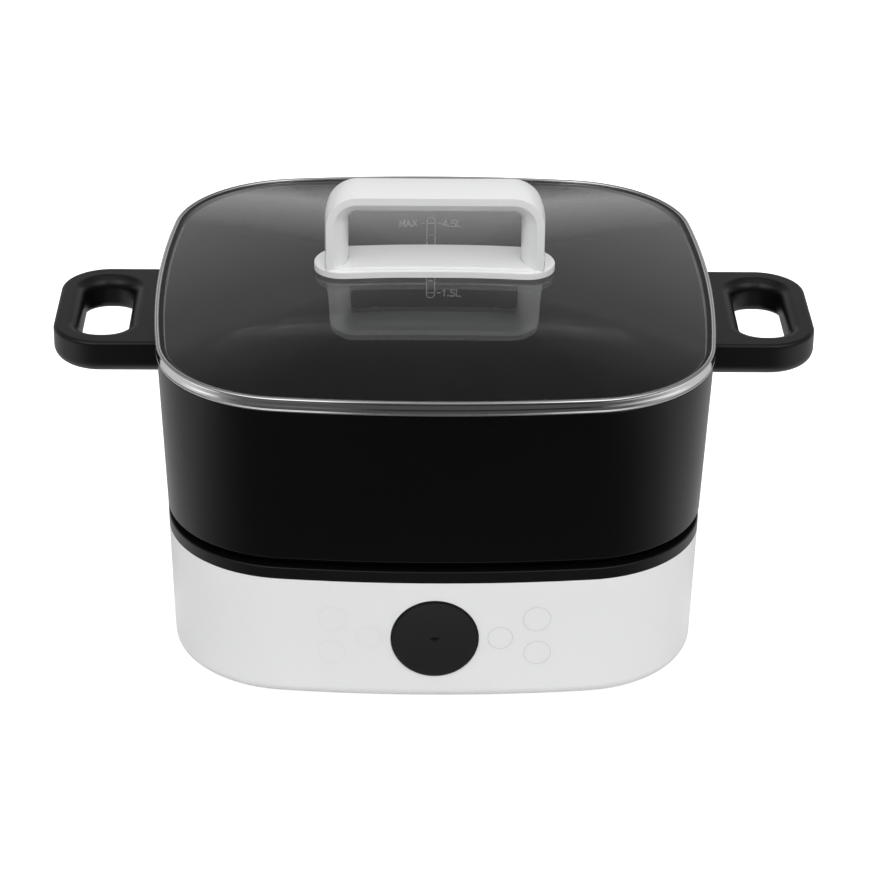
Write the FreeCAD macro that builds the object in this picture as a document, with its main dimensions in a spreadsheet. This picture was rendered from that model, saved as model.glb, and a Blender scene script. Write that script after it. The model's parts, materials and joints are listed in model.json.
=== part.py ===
"""Electric hot pot with a lift-off glass lid: base with heater and controls, cast pot, lid.

Millimetres. The origin is the middle of the footprint on the table, +Z is up and the front faces -Y.
"""

import FreeCAD, Part
import math
import os

import Sketcher

V = FreeCAD.Vector
Rotation = FreeCAD.Rotation
doc = FreeCAD.newDocument("hot_pot")
PARTS = []

# ---------------------------------------------------------------- driving dimensions

DIMENSIONS = [
    # square outline with bowed sides, shared by lid, pot and base
    ("outline_half", 143.0, "half width of the lid band at the middle of a side"),
    ("side_arc", 687.0, "radius of the bowed sides of the outline"),
    ("corner_arc", 69.0, "radius of the corners of the outline"),
    # stack of levels, from the table up
    ("foot_gap", 1.5, "table to underside of the base shell"),
    ("shell_height", 67.5, "height of the white base shell"),
    ("cover_height", 6.3, "height of the black rim on the shell"),
    ("shadow_gap", 5.2, "black rim to the lower edge of the pot wall"),
    ("pot_wall_height", 82.5, "height of the pot wall above the shadow gap"),
    ("band_height", 7.0, "height of the steel band of the lid"),
    # pot
    ("pot_setback", 0.5, "pot wall inside the outline at the rim"),
    ("pot_draft", 3.8, "how far the pot wall leans in from rim to underside"),
    ("pot_wall", 3.3, "thickness of the pot wall"),
    ("pot_floor", 5.0, "thickness of the pot floor"),
    ("pot_sink", 2.3, "pot underside below the top of the black rim"),
    ("boss_setback", 11.0, "boss under the pot inside the outline"),
    ("pot_floor_round", 15.0, "inside radius between floor and wall"),
    ("pot_edge_round", 0.8, "rounding of the pot's small edges"),
    # side handles
    ("handle_half_depth", 46.7, "half depth of a side handle"),
    ("handle_top_drop", 7.3, "top of a side handle below the pot rim"),
    ("handle_thickness", 17.5, "thickness of a side handle"),
    ("handle_bar", 12.8, "width of the outer bar of a side handle"),
    ("handle_root", 14.0, "width of the inner bar from the pot wall"),
    ("handle_end_bar", 14.2, "width of the front and back bars"),
    ("handle_corner", 25.0, "outer corner radius of a side handle"),
    ("grip_corner", 11.5, "corner radius of the finger opening"),
    ("grip_straight", 2.2, "straight part of the finger opening's front and back edges"),
    ("grip_top_round", 6.0, "rounding of the upper edge of the opening"),
    ("grip_low_round", 4.0, "rounding of the lower edge of the opening"),
    ("handle_top_round", 2.0, "rounding of the outer upper edge"),
    ("handle_low_round", 6.5, "rounding of the outer lower edge"),
    ("handle_gap", 0.3, "clearance between handle and pot wall"),
    ("lug_reach", 7.5, "how far a cast lug stands out of the pot wall"),
    ("lug_width", 10.0, "width of a lug"),
    ("lug_height", 8.0, "height of a lug"),
    ("lug_spacing", 54.0, "distance between the two lugs of a handle"),
    ("lug_gap", 0.3, "clearance of a lug in its handle"),
    ("handle_screw_radius", 1.5, "radius of a side handle screw"),
    ("handle_head_radius", 3.2, "radius of a side handle screw's head"),
    ("handle_head_height", 2.0, "height of a side handle screw's head"),
    ("handle_screw_bite", 5.0, "how far a side handle screw enters its lug"),
    ("thread_gap", 0.05, "clearance of a screw in its thread"),
    ("hole_gap", 0.3, "clearance of a screw in a plain hole"),
    # lid
    ("band_sheet", 0.8, "sheet thickness of the lid band"),
    ("band_lip", 3.4, "width of the band's lip over the glass"),
    ("band_flange", 5.5, "width of the band's flange under the glass"),
    ("skirt_drop", 2.5, "depth of the skirt inside the pot"),
    ("band_round", 0.5, "rounding of the band's upper edge"),
    ("seal_gap", 0.1, "clearance round the rubber seal"),
    ("seal_bed", 1.2, "rubber under the glass edge"),
    ("seal_wall", 0.8, "rubber beside the glass edge"),
    ("seal_width", 4.2, "width of the rubber bed"),
    ("glass_thickness", 4.0, "thickness of the glass"),
    ("glass_land", 2.6, "flat edge of the glass"),
    ("dome_rise", 10.2, "rise of the glass dome"),
    # lid handle
    ("plate_half_length", 62.0, "half length of the lid handle's base plate"),
    ("plate_half_depth", 17.0, "half depth of the base plate"),
    ("plate_thickness", 4.0, "base plate above its rubber pad, in the middle"),
    ("plate_crown", 2.0, "fall of the base plate from the middle to the ends"),
    ("tier_height", 0.8, "step of the base plate's upper tier"),
    ("plate_edge_round", 1.0, "rounding of the base plate's lower tier"),
    ("tier_setback", 3.0, "upper tier inside the base plate's outline"),
    ("pad_thickness", 0.8, "rubber pad between plate and glass, in the middle"),
    ("pad_setback", 3.0, "rubber pad inside the base plate's outline"),
    ("pad_gap", 0.1, "clearance of the pad and the plate over the dome"),
    ("bridge_rise", 38.0, "top of the base plate to the top of the bridge"),
    ("bridge_half", 56.4, "half length of the bridge"),
    ("bridge_half_depth", 13.6, "half depth of the bridge"),
    ("bridge_edge", 3.8, "thickness of the bridge at its edges"),
    ("bridge_middle", 12.0, "thickness of the bridge in its middle"),
    ("bridge_crown", 0.8, "crown of the bridge's outer face"),
    ("bridge_corner", 17.0, "radius of the bridge's corners"),
    ("bridge_seat", 3.0, "depth of a leg's seat below the top of the plate"),
    ("seat_gap", 0.15, "clearance of a leg in its seat"),
    ("lid_screw_inset", 6.0, "lid handle screw from the outside of a leg"),
    ("lid_screw_radius", 2.0, "radius of a lid handle screw"),
    ("lid_head_radius", 4.2, "radius of a lid handle screw's head"),
    ("lid_head_height", 2.4, "height of a lid handle screw's head"),
    ("lid_screw_bite", 12.0, "how far a lid handle screw enters its leg"),
    ("washer_radius", 6.5, "radius of the washers under the glass"),
    ("washer_height", 1.2, "height of the washers under the glass"),
    ("washer_gap", 0.4, "washer below the curved glass at the screw's axis"),
    # base shell
    ("base_setback", 4.3, "base shell inside the outline at its top"),
    ("base_draft", 1.7, "how far the shell leans in from top to bottom"),
    ("shell_wall", 2.5, "thickness of the shell"),
    ("shell_foot_round", 6.0, "outside radius at the shell's lower edge"),
    ("floor_opening_setback", 21.4, "opening in the shell's floor inside the outline"),
    ("ledge_height", 2.0, "height of the ledge round the floor opening"),
    ("ledge_out_setback", 17.0, "outside of the ledge inside the outline"),
    ("ledge_in_setback", 31.0, "inside of the ledge inside the outline"),
    ("boss_radius", 4.0, "radius of the screw bosses"),
    ("side_boss_setback", 28.0, "bottom cover screws inside the outline"),
    ("side_boss_y", 50.0, "bottom cover screws, from the middle line"),
    ("side_boss_height", 7.0, "bottom cover screw bosses above the ledge"),
    ("corner_boss_setback", 16.0, "top cover screws inside the outline's corners"),
    ("corner_boss_radius", 5.0, "radius of the top cover screw bosses"),
    ("corner_boss_drop", 7.0, "top of these bosses below the shell's top"),
    ("corner_boss_roof", 6.0, "thickness of the roof that the screw heads pull on"),
    # black top cover
    ("rim_setback", 9.8, "inside of the black rim inside the outline"),
    ("deck_drop", 3.3, "deck below the top of the black rim"),
    ("rim_round", 0.8, "rounding of the black rim's upper edge"),
    ("tongue_gap", 0.3, "clearance of the cover's tongue in the shell"),
    ("tongue_wall", 2.0, "thickness of the tongue"),
    ("tongue_depth", 3.0, "depth of the tongue in the shell"),
    ("cover_post_radius", 4.5, "radius of the cover's screw posts"),
    # screws
    ("case_screw_radius", 1.5, "radius of the housing screws"),
    ("case_head_radius", 3.0, "radius of the housing screws' heads"),
    ("case_head_height", 1.2, "height of the housing screws' heads"),
    ("case_screw_bite", 6.0, "how far a housing screw enters its boss"),
    # bottom cover and feet
    ("cover_play", 0.4, "clearance round the bottom cover"),
    ("vent_length", 34.0, "length of a vent slot"),
    ("vent_width", 3.0, "width of a vent slot"),
    ("vent_pitch", 8.0, "distance between vent slots"),
    ("vent_count", 7, "number of vent slots"),
    ("vent_x", -62.0, "middle of the vent field"),
    ("vent_y", -20.0, "first vent slot"),
    ("foot_setback", 36.5, "feet inside the outline's corners"),
    ("foot_radius", 9.0, "radius of a foot"),
    ("foot_stem_radius", 3.0, "radius of a foot's stem"),
    ("foot_head_radius", 4.5, "radius of the head that holds a foot"),
    ("foot_head_height", 1.5, "height of that head"),
    ("stem_gap", 0.2, "clearance of a foot's stem"),
    # heater
    ("plate_radius", 80.0, "radius of the heating plate"),
    ("plate_height", 10.0, "thickness of the heating plate"),
    ("plate_gap", 3.0, "gap between the heating plate and the deck"),
    ("plate_hole_radius", 16.5, "radius of the hole for the sensor"),
    ("heater_edge_round", 1.5, "rounding of the heating plate's upper edge"),
    ("tube_ring_radius", 50.0, "radius of the tubular element's ring"),
    ("tube_radius", 3.4, "radius of the tubular element"),
    ("tube_gap", 0.1, "clearance of the element in its groove"),
    ("tube_end_gap", 1.2, "clearance of the element's ends in the dish"),
    ("ridge_half_width", 6.5, "half width of the ridge that holds the element"),
    ("ridge_height", 5.0, "height of that ridge"),
    ("tube_open_angle", 22.0, "half the angle left open in the element's ring"),
    ("tube_bend", 7.0, "radius where the element's ends turn down"),
    ("tube_end_drop", 10.0, "straight length of the element's ends"),
    ("post_inset", 13.0, "heating plate posts inside the plate's edge"),
    ("post_radius", 3.5, "radius of a post"),
    ("post_stud_radius", 1.8, "radius of a post's stud"),
    ("post_stud_length", 4.5, "length of a post's stud"),
    ("nut_radius", 3.6, "radius of the nuts on the posts"),
    ("nut_height", 2.6, "height of these nuts"),
    ("dish_sheet", 0.8, "sheet thickness of the reflector dish"),
    ("dish_wall_gap", 4.5, "dish wall outside the heating plate, at the deck"),
    ("dish_floor_inset", 2.0, "dish floor's edge inside the heating plate's edge"),
    ("dish_flange", 13.5, "width of the dish's flange"),
    ("dish_depth", 19.0, "depth of the dish below the deck"),
    ("dish_hole_radius", 12.0, "hole in the middle of the dish"),
    ("dish_screw_inset", 6.0, "reflector screws inside the flange's edge"),
    ("dish_screw_bite", 2.2, "how far a reflector screw enters the deck"),
    # temperature sensor
    ("sensor_gap", 0.3, "sensor cap below the pot"),
    ("cap_radius", 11.0, "radius of the sensor cap"),
    ("cap_height", 12.0, "height of the sensor cap"),
    ("cap_wall", 1.0, "wall of the sensor cap"),
    ("cap_flange", 1.0, "flange round the cap's lower edge, beyond its radius"),
    ("cap_flange_height", 1.2, "thickness of that flange"),
    ("holder_gap", 0.5, "clearance between cap and holder"),
    ("holder_wall", 1.2, "wall of the sensor holder"),
    ("holder_flange_radius", 20.0, "radius of the holder's flange"),
    ("holder_hole_radius", 3.0, "hole for the sensor lead"),
    ("sensor_spring_radius", 8.0, "radius of the sensor spring"),
    ("spring_wire", 0.6, "wire radius of the sensor spring"),
    ("sensor_spring_turns", 5, "turns of the sensor spring"),
    ("spring_end_gap", 0.1, "clearance at the ends of a spring"),
    # thermal fuse
    ("fuse_place", 38.0, "thermal fuse behind the middle"),
    ("fuse_radius", 2.0, "radius of the thermal fuse"),
    ("fuse_length", 13.0, "length of the thermal fuse"),
    ("fuse_clip_length", 7.0, "length of the fuse's holder"),
    ("fuse_clip_depth", 8.0, "depth of the fuse's holder"),
    ("fuse_clip_height", 6.0, "height of the fuse's holder"),
    # power board
    ("board_right", 19.0, "power board's right edge beyond the middle of the outline's corner arc"),
    ("board_back", 30.0, "power board's back edge beyond the middle of the outline's corner arc"),
    ("board_length", 100.0, "length of the power board"),
    ("board_depth", 62.0, "depth of the power board"),
    ("board_sheet", 1.6, "thickness of the circuit boards"),
    ("board_inset", 5.0, "board screws from the board's edges"),
    ("standoff_height", 10.0, "height of the board's standoffs"),
    ("standoff_radius", 3.2, "radius of the board's standoffs"),
    ("board_screw_radius", 1.2, "radius of a board screw"),
    ("board_head_radius", 2.4, "radius of a board screw's head"),
    ("board_head_height", 1.6, "height of a board screw's head"),
    ("board_screw_bite", 6.0, "how far a board screw enters its standoff"),
    ("relay_length", 28.0, "length of the relay"),
    ("relay_depth", 12.0, "depth of the relay"),
    ("relay_height", 16.0, "height of the relay"),
    ("coil_length", 24.0, "length of the transformer's core"),
    ("coil_depth", 20.0, "depth of the transformer's core"),
    ("coil_height", 18.0, "height of the transformer"),
    ("winding_round", 3.0, "corner radius of the transformer's winding"),
    ("winding_proud", 2.5, "winding in front of the core"),
    ("can_left", 6.0, "capacitor to the left of the power board's middle"),
    ("can_radius", 6.5, "radius of the capacitor"),
    ("can_height", 16.0, "height of the capacitor"),
    ("sink_length", 30.0, "length of the heat sink"),
    ("sink_height", 22.0, "height of the heat sink"),
    ("sink_fin", 1.6, "thickness of a fin"),
    ("sink_depth", 12.0, "depth of the heat sink"),
    ("sink_fins", 5, "number of fins"),
    ("block_length", 18.0, "length of the terminal block"),
    ("block_depth", 9.0, "depth of the terminal block"),
    ("block_height", 10.0, "height of the terminal block"),
    ("block_way_radius", 1.7, "radius of the block's wire entries"),
    # front controls, in the tilted plane of the front face
    ("knob_level", 37.1, "middle of the control disc above the table"),
    ("knob_radius", 21.6, "radius of the control disc"),
    ("knob_gap", 0.4, "clearance round the control disc"),
    ("knob_proud", 0.5, "control disc in front of the face"),
    ("knob_dish", 1.6, "depth of the control disc's hollow"),
    ("knob_lip", 0.9, "flat lip round the hollow"),
    ("knob_body", 3.2, "face to the back of the control disc"),
    ("knob_flange", 1.9, "flange of the disc behind the wall, beyond its radius"),
    ("flange_height", 1.2, "thickness of that flange"),
    ("hub_radius", 6.0, "radius of the disc's hub"),
    ("hub_end", 6.0, "face to the end of the hub"),
    ("shaft_radius", 3.0, "radius of the encoder shaft"),
    ("shaft_start", 2.0, "face to the front end of the shaft"),
    ("shaft_end", 12.0, "face to the back end of the shaft"),
    ("shaft_gap", 0.05, "running clearance of the shaft"),
    ("neck_start", 7.6, "face to the front of the encoder's neck"),
    ("neck_radius", 4.6, "radius of the encoder's neck"),
    ("encoder_start", 9.6, "face to the front of the encoder's case"),
    ("encoder_half", 7.0, "half width of the encoder's case"),
    ("plunger_radius", 2.7, "radius of the push switch's plunger"),
    ("plunger_length", 2.0, "length of that plunger"),
    ("press_travel", 1.2, "travel of the control disc when pressed"),
    ("control_board_depth", 16.6, "face to the front of the control board"),
    ("control_board_half", 62.0, "half length of the control board"),
    ("control_board_rise", 21.0, "half height of the control board"),
    ("control_screw_x", 57.0, "control board screws from the middle"),
    ("control_screw_z", 17.0, "control board screws from the disc's level"),
    ("inner_key_x", 32.6, "inner touch keys from the middle"),
    ("outer_key_x", 51.0, "outer touch keys from the middle"),
    ("upper_key_rise", 10.5, "upper touch keys above the disc's level"),
    ("lower_key_drop", 9.0, "lower touch keys below the disc's level"),
    ("key_spring_radius", 4.0, "radius of a touch spring"),
    ("key_wire", 0.4, "wire radius of a touch spring"),
    ("key_spring_turns", 4, "turns of a touch spring"),
    # mains inlet at the back
    ("inlet_level", 32.0, "middle of the inlet above the table"),
    ("inlet_half", 14.0, "half width of the inlet's case"),
    ("inlet_rise", 10.2, "half height of the inlet's case"),
    ("inlet_flange", 3.4, "flange beyond the case"),
    ("inlet_flange_sheet", 1.6, "thickness of the flange"),
    ("inlet_setback", 4.7, "inlet's face inside the outline"),
    ("inlet_depth", 24.0, "depth of the case behind the flange's face"),
    ("inlet_wall", 1.8, "wall of the case"),
    ("inlet_hollow", 17.0, "depth of the socket"),
    ("inlet_gap", 0.3, "clearance of the inlet in the shell"),
    ("inlet_corner", 3.0, "corner radius of the socket"),
    ("pin_spacing", 7.0, "distance between the inlet's pins"),
    ("pin_width", 2.0, "width of a pin"),
    ("pin_height", 4.0, "height of a pin"),
    ("pin_length", 12.0, "length of a pin in the socket"),
    ("pin_tail", 6.0, "length of a pin behind the case"),
    ("pin_gap", 0.05, "clearance of a pin in the case"),
    ("earth_rise", 2.0, "earth pin above the other pins"),
    # leads
    ("lead_radius", 1.0, "radius of a lead"),
    ("lead_bend", 4.0, "bend radius of a lead"),
    ("lead_end_gap", 0.3, "clearance at a lead's end"),
    ("lead_step", 4.0, "distance between leads that pass each other"),
    ("lead_entry", 2.0, "how far a lead enters the terminal block"),
    ("heater_lead_level", 26.0, "lower heater lead above the table"),
    ("heater_lead_gap", 3.5, "heater leads to the left of the transformer"),
    ("heater_lead_pitch", 5.5, "distance between the heater leads on the power board"),
    ("heater_lead_front", 18.0, "heater leads in front of the power board's middle"),
    ("sensor_lead_level", 36.0, "sensor lead above the table"),
    ("sensor_lead_left", 8.0, "sensor lead to the left of the power board's middle"),
    ("sensor_lead_front", 14.0, "sensor lead in front of the power board's middle"),
    ("control_lead_level", 32.0, "lead of the control board above the table"),
    ("control_lead_left", 4.0, "lead of the control board to the left of the power board's middle"),
    ("control_lead_front", 26.0, "lead of the control board in front of the power board's middle"),
]

sheet = doc.addObject("Spreadsheet::Sheet", "dims")
for row, (alias, size, meaning) in enumerate(DIMENSIONS, start=1):
    sheet.set(f"A{row}", meaning)
    sheet.set(f"B{row}", str(size))
    sheet.setAlias(f"B{row}", alias)
doc.recompute()

# levels above the table, as expressions over the sheet
SHELL_BOTTOM = "dims.foot_gap"
SHELL_TOP = f"({SHELL_BOTTOM} + dims.shell_height)"
COVER_TOP = f"({SHELL_TOP} + dims.cover_height)"
POT_BOTTOM = f"({COVER_TOP} - dims.pot_sink)"
POT_STEP = f"({COVER_TOP} + dims.shadow_gap)"
POT_FLOOR = f"({POT_BOTTOM} + dims.pot_floor)"
POT_RIM = f"({POT_STEP} + dims.pot_wall_height)"
BAND_TOP = f"({POT_RIM} + dims.band_height)"
SEAL_LOW = f"({POT_RIM} + dims.band_sheet)"
GLASS_LOW = f"({SEAL_LOW} + dims.seal_bed)"
GLASS_EDGE = f"({GLASS_LOW} + dims.glass_thickness)"
GLASS_APEX = f"({GLASS_EDGE} + dims.dome_rise)"
HANDLE_START = f"({GLASS_EDGE} + dims.dome_rise / 2)"
PAD_TOP = f"({GLASS_APEX} + dims.pad_thickness)"
PLATE_TOP = f"({PAD_TOP} + dims.plate_thickness)"
BRIDGE_TOP = f"({PLATE_TOP} + dims.bridge_rise)"
BRIDGE_SEAT = f"({PLATE_TOP} - dims.bridge_seat)"
HANDLE_TOP = f"({POT_RIM} - dims.handle_top_drop)"
HANDLE_LOW = f"({HANDLE_TOP} - dims.handle_thickness)"
LUG_LOW = f"({HANDLE_LOW} + (dims.handle_thickness - dims.lug_height) / 2)"
FLOOR_TOP = f"({SHELL_BOTTOM} + dims.shell_wall)"
LEDGE_TOP = f"({FLOOR_TOP} + dims.ledge_height)"
CORNER_BOSS_TOP = f"({SHELL_TOP} - dims.corner_boss_drop)"
CORNER_ROOF = f"({CORNER_BOSS_TOP} - dims.corner_boss_roof)"
DECK_TOP = f"({COVER_TOP} - dims.deck_drop)"
HEATER_LOW = f"({POT_BOTTOM} - dims.plate_height)"
RIDGE_LOW = f"({HEATER_LOW} - dims.ridge_height)"
DISH_FLOOR = f"({SHELL_TOP} - dims.dish_depth)"
DISH_LOW = f"({DISH_FLOOR} - dims.dish_sheet)"
CAP_TOP = f"({POT_BOTTOM} - dims.sensor_gap)"
CAP_LOW = f"({CAP_TOP} - dims.cap_height)"
HOLDER_FLOOR = f"({DISH_FLOOR} + dims.holder_wall)"
LIP_LOW = f"({CAP_LOW} + dims.cap_flange_height + dims.sensor_gap)"
TUBE_END = f"({RIDGE_LOW} - dims.tube_bend - dims.tube_end_drop)"
BOARD_LOW = f"({FLOOR_TOP} + dims.standoff_height)"
BOARD_TOP = f"({BOARD_LOW} + dims.board_sheet)"

# insets from the lid's outline
POT_TOP_INSET = "dims.pot_setback"
POT_LOW_INSET = "(dims.pot_setback + dims.pot_draft)"
SEAL_INSET = "(dims.band_sheet + dims.seal_gap)"
GLASS_INSET = f"({SEAL_INSET} + dims.seal_wall + dims.seal_gap)"
DOME_INSET = f"({GLASS_INSET} + dims.glass_land)"
BASE_TOP_INSET = "dims.base_setback"
BASE_LOW_INSET = "(dims.base_setback + dims.base_draft)"

# places
BOW_MIDDLE = "(dims.side_arc - dims.outline_half)"
CORNER_MIDDLE = f"((sqrt(2 * (dims.side_arc - dims.corner_arc)^2 - {BOW_MIDDLE}^2) - {BOW_MIDDLE}) / 2)"
BOSS_PLACE = f"({CORNER_MIDDLE} + (dims.corner_arc - dims.corner_boss_setback) / sqrt(2))"
FOOT_PLACE = f"({CORNER_MIDDLE} + (dims.corner_arc - dims.foot_setback) / sqrt(2))"
SIDE_BOSS_X = "(dims.outline_half - dims.side_boss_setback)"
GRIP_LOW = "(dims.outline_half + dims.handle_root)"
GRIP_HIGH = f"({GRIP_LOW} + 2 * dims.grip_corner + dims.grip_straight)"
HANDLE_REACH = f"({GRIP_HIGH} + dims.handle_bar)"
GRIP_DEPTH = "(dims.handle_half_depth - dims.handle_end_bar)"
HANDLE_LOW_ROUND = "min(dims.handle_low_round; dims.handle_bar - dims.grip_low_round - dims.handle_gap)"
DISH_RADIUS = "(dims.plate_radius + dims.dish_wall_gap)"
DISH_FLOOR_RADIUS = "(dims.plate_radius - dims.dish_floor_inset)"
DISH_EDGE = f"({DISH_RADIUS} + dims.dish_flange)"
DISH_SCREW_PLACE = f"({DISH_EDGE} - dims.dish_screw_inset)"
POST_PLACE = "(dims.plate_radius - dims.post_inset)"
INLET_FACE = "(dims.outline_half - dims.inlet_setback)"
LUG_SCREW_X = "(dims.outline_half - dims.pot_setback + dims.lug_reach / 2)"
LID_SCREW_X = "(dims.bridge_half - dims.lid_screw_inset)"
TILT = "atan(dims.base_draft / dims.shell_height)"
FRONT_FACE = (
    f"(dims.outline_half - {BASE_LOW_INSET}"
    f" + dims.base_draft * (dims.knob_level - {SHELL_BOTTOM}) / dims.shell_height)"
)
SIGNS = ((-1, -1), (1, -1), (1, 1), (-1, 1))

# places on the power board
BOARD_X = f"({CORNER_MIDDLE} + dims.board_right - dims.board_length / 2)"
BOARD_Y = f"({CORNER_MIDDLE} + dims.board_back - dims.board_depth / 2)"
BOARD_LEFT = f"({BOARD_X} - dims.board_length / 4)"
BOARD_RIGHT = f"({BOARD_X} + dims.board_length / 5)"
BOARD_BACK = f"({BOARD_Y} + dims.board_depth / 4)"
BOARD_FRONT = f"({BOARD_Y} - dims.board_depth / 4)"
BLOCK_LEVEL = f"({BOARD_TOP} + dims.block_height / 2)"

PIN_END = f"({INLET_FACE} - dims.inlet_depth - dims.pin_tail)"
PIN_PLACES = (
    ("0 - dims.pin_spacing", "dims.inlet_level - dims.earth_rise / 2"),
    ("0", "dims.inlet_level + dims.earth_rise / 2"),
    ("dims.pin_spacing", "dims.inlet_level - dims.earth_rise / 2"),
)

# the dome's sections, as shares of its own outline
DOME_SHARES = (1.0, 0.86, 0.7, 0.52, 0.32, 0.12)

TOLERANCE = 0.01

# share of a turn in each span of a coil
HALF_TURN = 0.5


def number(text):
    """Value of an expression over the sheet."""
    return float(sheet.evalExpression(text))


# ---------------------------------------------------------------- sketches


def new_body(name):
    """Body of one sub-part."""
    body = doc.addObject("PartDesign::Body", name)
    body.Label = name
    body.AllowCompound = True
    PARTS.append(body)
    return body


def new_sketch(body, name, role="XY_Plane", offset="0"):
    """Sketch on a plane of the body's origin, moved along the plane's normal."""
    sketch = body.newObject("Sketcher::SketchObject", name)
    plane = next(p for p in body.Origin.OriginFeatures if p.Role == role)
    sketch.AttachmentSupport = [(plane, "")]
    sketch.MapMode = "FlatFace"
    sketch.setExpression("AttachmentOffset.Base.z", offset)
    return sketch


def bind(sketch, constraint, name, text):
    """Adds a dimension to a sketch and binds it to an expression."""
    index = sketch.addConstraint(constraint)
    sketch.renameConstraint(index, name)
    sketch.setExpression(f"Constraints.{name}", text)


def place_point(sketch, item, point, name, x, y):
    """Fixes a point of a sketch at bound coordinates."""
    for kind, text, axis in (("DistanceX", x, -2), ("DistanceY", y, -1)):
        if text == "0":
            sketch.addConstraint(Sketcher.Constraint("PointOnObject", item, point, axis))
        else:
            constraint = Sketcher.Constraint(kind, -1, 1, item, point, number(text))
            bind(sketch, constraint, f"{name}_{kind[-1].lower()}", text)


def circle(sketch, x, y, radius, name="ring"):
    """Circle with bound centre and radius."""
    shape = Part.Circle(V(number(x), number(y), 0), V(0, 0, 1), number(radius))
    item = sketch.addGeometry(shape, False)
    place_point(sketch, item, 3, name, x, y)
    bind(sketch, Sketcher.Constraint("Radius", item, number(radius)), f"{name}_radius", radius)


def arc_between(start, end, radius, side):
    """Minor arc from start to end that bulges to the left (1) or right (-1) of the chord."""
    chord = end - start
    left = V(-chord.y, chord.x, 0).normalize()
    depth = math.sqrt(max(radius**2 - (chord.Length / 2) ** 2, 0.0))
    middle = (start + end) / 2
    centre = middle - left * side * depth
    first, last = (end, start) if side > 0 else (start, end)
    begin = math.atan2(first.y - centre.y, first.x - centre.x)
    finish = math.atan2(last.y - centre.y, last.x - centre.x)
    full = Part.Circle(centre, V(0, 0, 1), radius)
    return Part.ArcOfCircle(full, begin, finish + (2 * math.pi if finish < begin else 0))


def profile(sketch, corners, arcs=None, name="p"):
    """Closed profile through bound corners. arcs maps a side's number to (radius, side of bulge)."""
    arcs = arcs or {}
    points = [V(number(x), number(y), 0) for x, y in corners]
    ends = []
    for i, start in enumerate(points):
        end = points[(i + 1) % len(points)]
        if i in arcs:
            radius, side = arcs[i]
            item = sketch.addGeometry(arc_between(start, end, number(radius), side), False)
            ends.append((item, 2, 1) if side > 0 else (item, 1, 2))
            size = Sketcher.Constraint("Radius", item, number(radius))
            bind(sketch, size, f"{name}{i}_radius", radius)
        else:
            item = sketch.addGeometry(Part.LineSegment(start, end), False)
            ends.append((item, 1, 2))
    for i, (item, start, _) in enumerate(ends):
        before, _, end = ends[i - 1]
        sketch.addConstraint(Sketcher.Constraint("Coincident", before, end, item, start))
        place_point(sketch, item, start, f"{name}{i}", *corners[i])


def rectangle(sketch, x0, y0, x1, y1, name="r"):
    """Rectangle between two bound corners."""
    profile(sketch, [(x0, y0), (x1, y0), (x1, y1), (x0, y1)], name=name)


def rounded_rectangle(sketch, x0, y0, x1, y1, radius, name="q"):
    """Rectangle with round corners, counter-clockwise from the lower left."""
    corners = [
        (f"{x0} + {radius}", y0),
        (f"{x1} - {radius}", y0),
        (x1, f"{y0} + {radius}"),
        (x1, f"{y1} - {radius}"),
        (f"{x1} - {radius}", y1),
        (f"{x0} + {radius}", y1),
        (x0, f"{y1} - {radius}"),
        (x0, f"{y0} + {radius}"),
    ]
    profile(sketch, corners, {i: (radius, -1) for i in (1, 3, 5, 7)}, name=name)


def outline(sketch, inset, share=1.0, name="o"):
    """Eight tangent arcs: the common square outline, drawn inset and scaled by a share."""
    half = f"(dims.outline_half - {inset}) * {share}"
    side = f"(dims.side_arc - {inset}) * {share}"
    corner = f"(dims.corner_arc - {inset}) * {share}"
    half_size, side_size, corner_size = number(half), number(side), number(corner)
    reach = side_size - corner_size
    bow = math.acos((side_size - half_size) / reach / math.sqrt(2)) - math.pi / 4
    corner_centre = reach * math.sin(bow)
    items = []
    for quarter in range(4):
        turn = quarter * math.pi / 2
        spin = Rotation(V(0, 0, 1), math.degrees(turn))
        side_circle = Part.Circle(spin.multVec(V(half_size - side_size, 0, 0)), V(0, 0, 1), side_size)
        centre = spin.multVec(V(corner_centre, corner_centre, 0))
        corner_circle = Part.Circle(centre, V(0, 0, 1), corner_size)
        side_arc = Part.ArcOfCircle(side_circle, turn - bow, turn + bow)
        corner_arc = Part.ArcOfCircle(corner_circle, turn + bow, turn + math.pi / 2 - bow)
        items.append(sketch.addGeometry(side_arc, False))
        items.append(sketch.addGeometry(corner_arc, False))
    for i, item in enumerate(items):
        after = items[(i + 1) % len(items)]
        sketch.addConstraint(Sketcher.Constraint("Tangent", item, 2, after, 1))
    for item in items[2::2]:
        sketch.addConstraint(Sketcher.Constraint("Equal", items[0], item))
    for item in items[3::2]:
        sketch.addConstraint(Sketcher.Constraint("Equal", items[1], item))
    bind(sketch, Sketcher.Constraint("Radius", items[0], side_size), f"{name}_side", side)
    bind(sketch, Sketcher.Constraint("Radius", items[1], corner_size), f"{name}_corner", corner)
    bind_bows(sketch, items[0::2], side_size - half_size, f"{side} - {half}", name)


def bind_bows(sketch, sides, offset, text, name):
    """Keeps the centres of the four bowed sides on the axes, equally far from the middle."""
    for quarter, item in enumerate(sides):
        kind, axis = ("DistanceX", -1) if quarter % 2 == 0 else ("DistanceY", -2)
        sketch.addConstraint(Sketcher.Constraint("PointOnObject", item, 3, axis))
        ends = (item, 3, -1, 1) if quarter < 2 else (-1, 1, item, 3)
        bind(sketch, Sketcher.Constraint(kind, *ends, offset), f"{name}_bow{quarter}", text)


# ---------------------------------------------------------------- features


def pad(body, sketch, length, reverse=False):
    """Raises a sketch by a bound length."""
    feature = body.newObject("PartDesign::Pad", f"{sketch.Name}_pad")
    feature.Profile = sketch
    feature.Reversed = reverse
    feature.setExpression("Length", length)
    sketch.Visibility = False
    doc.recompute()
    return feature


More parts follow.
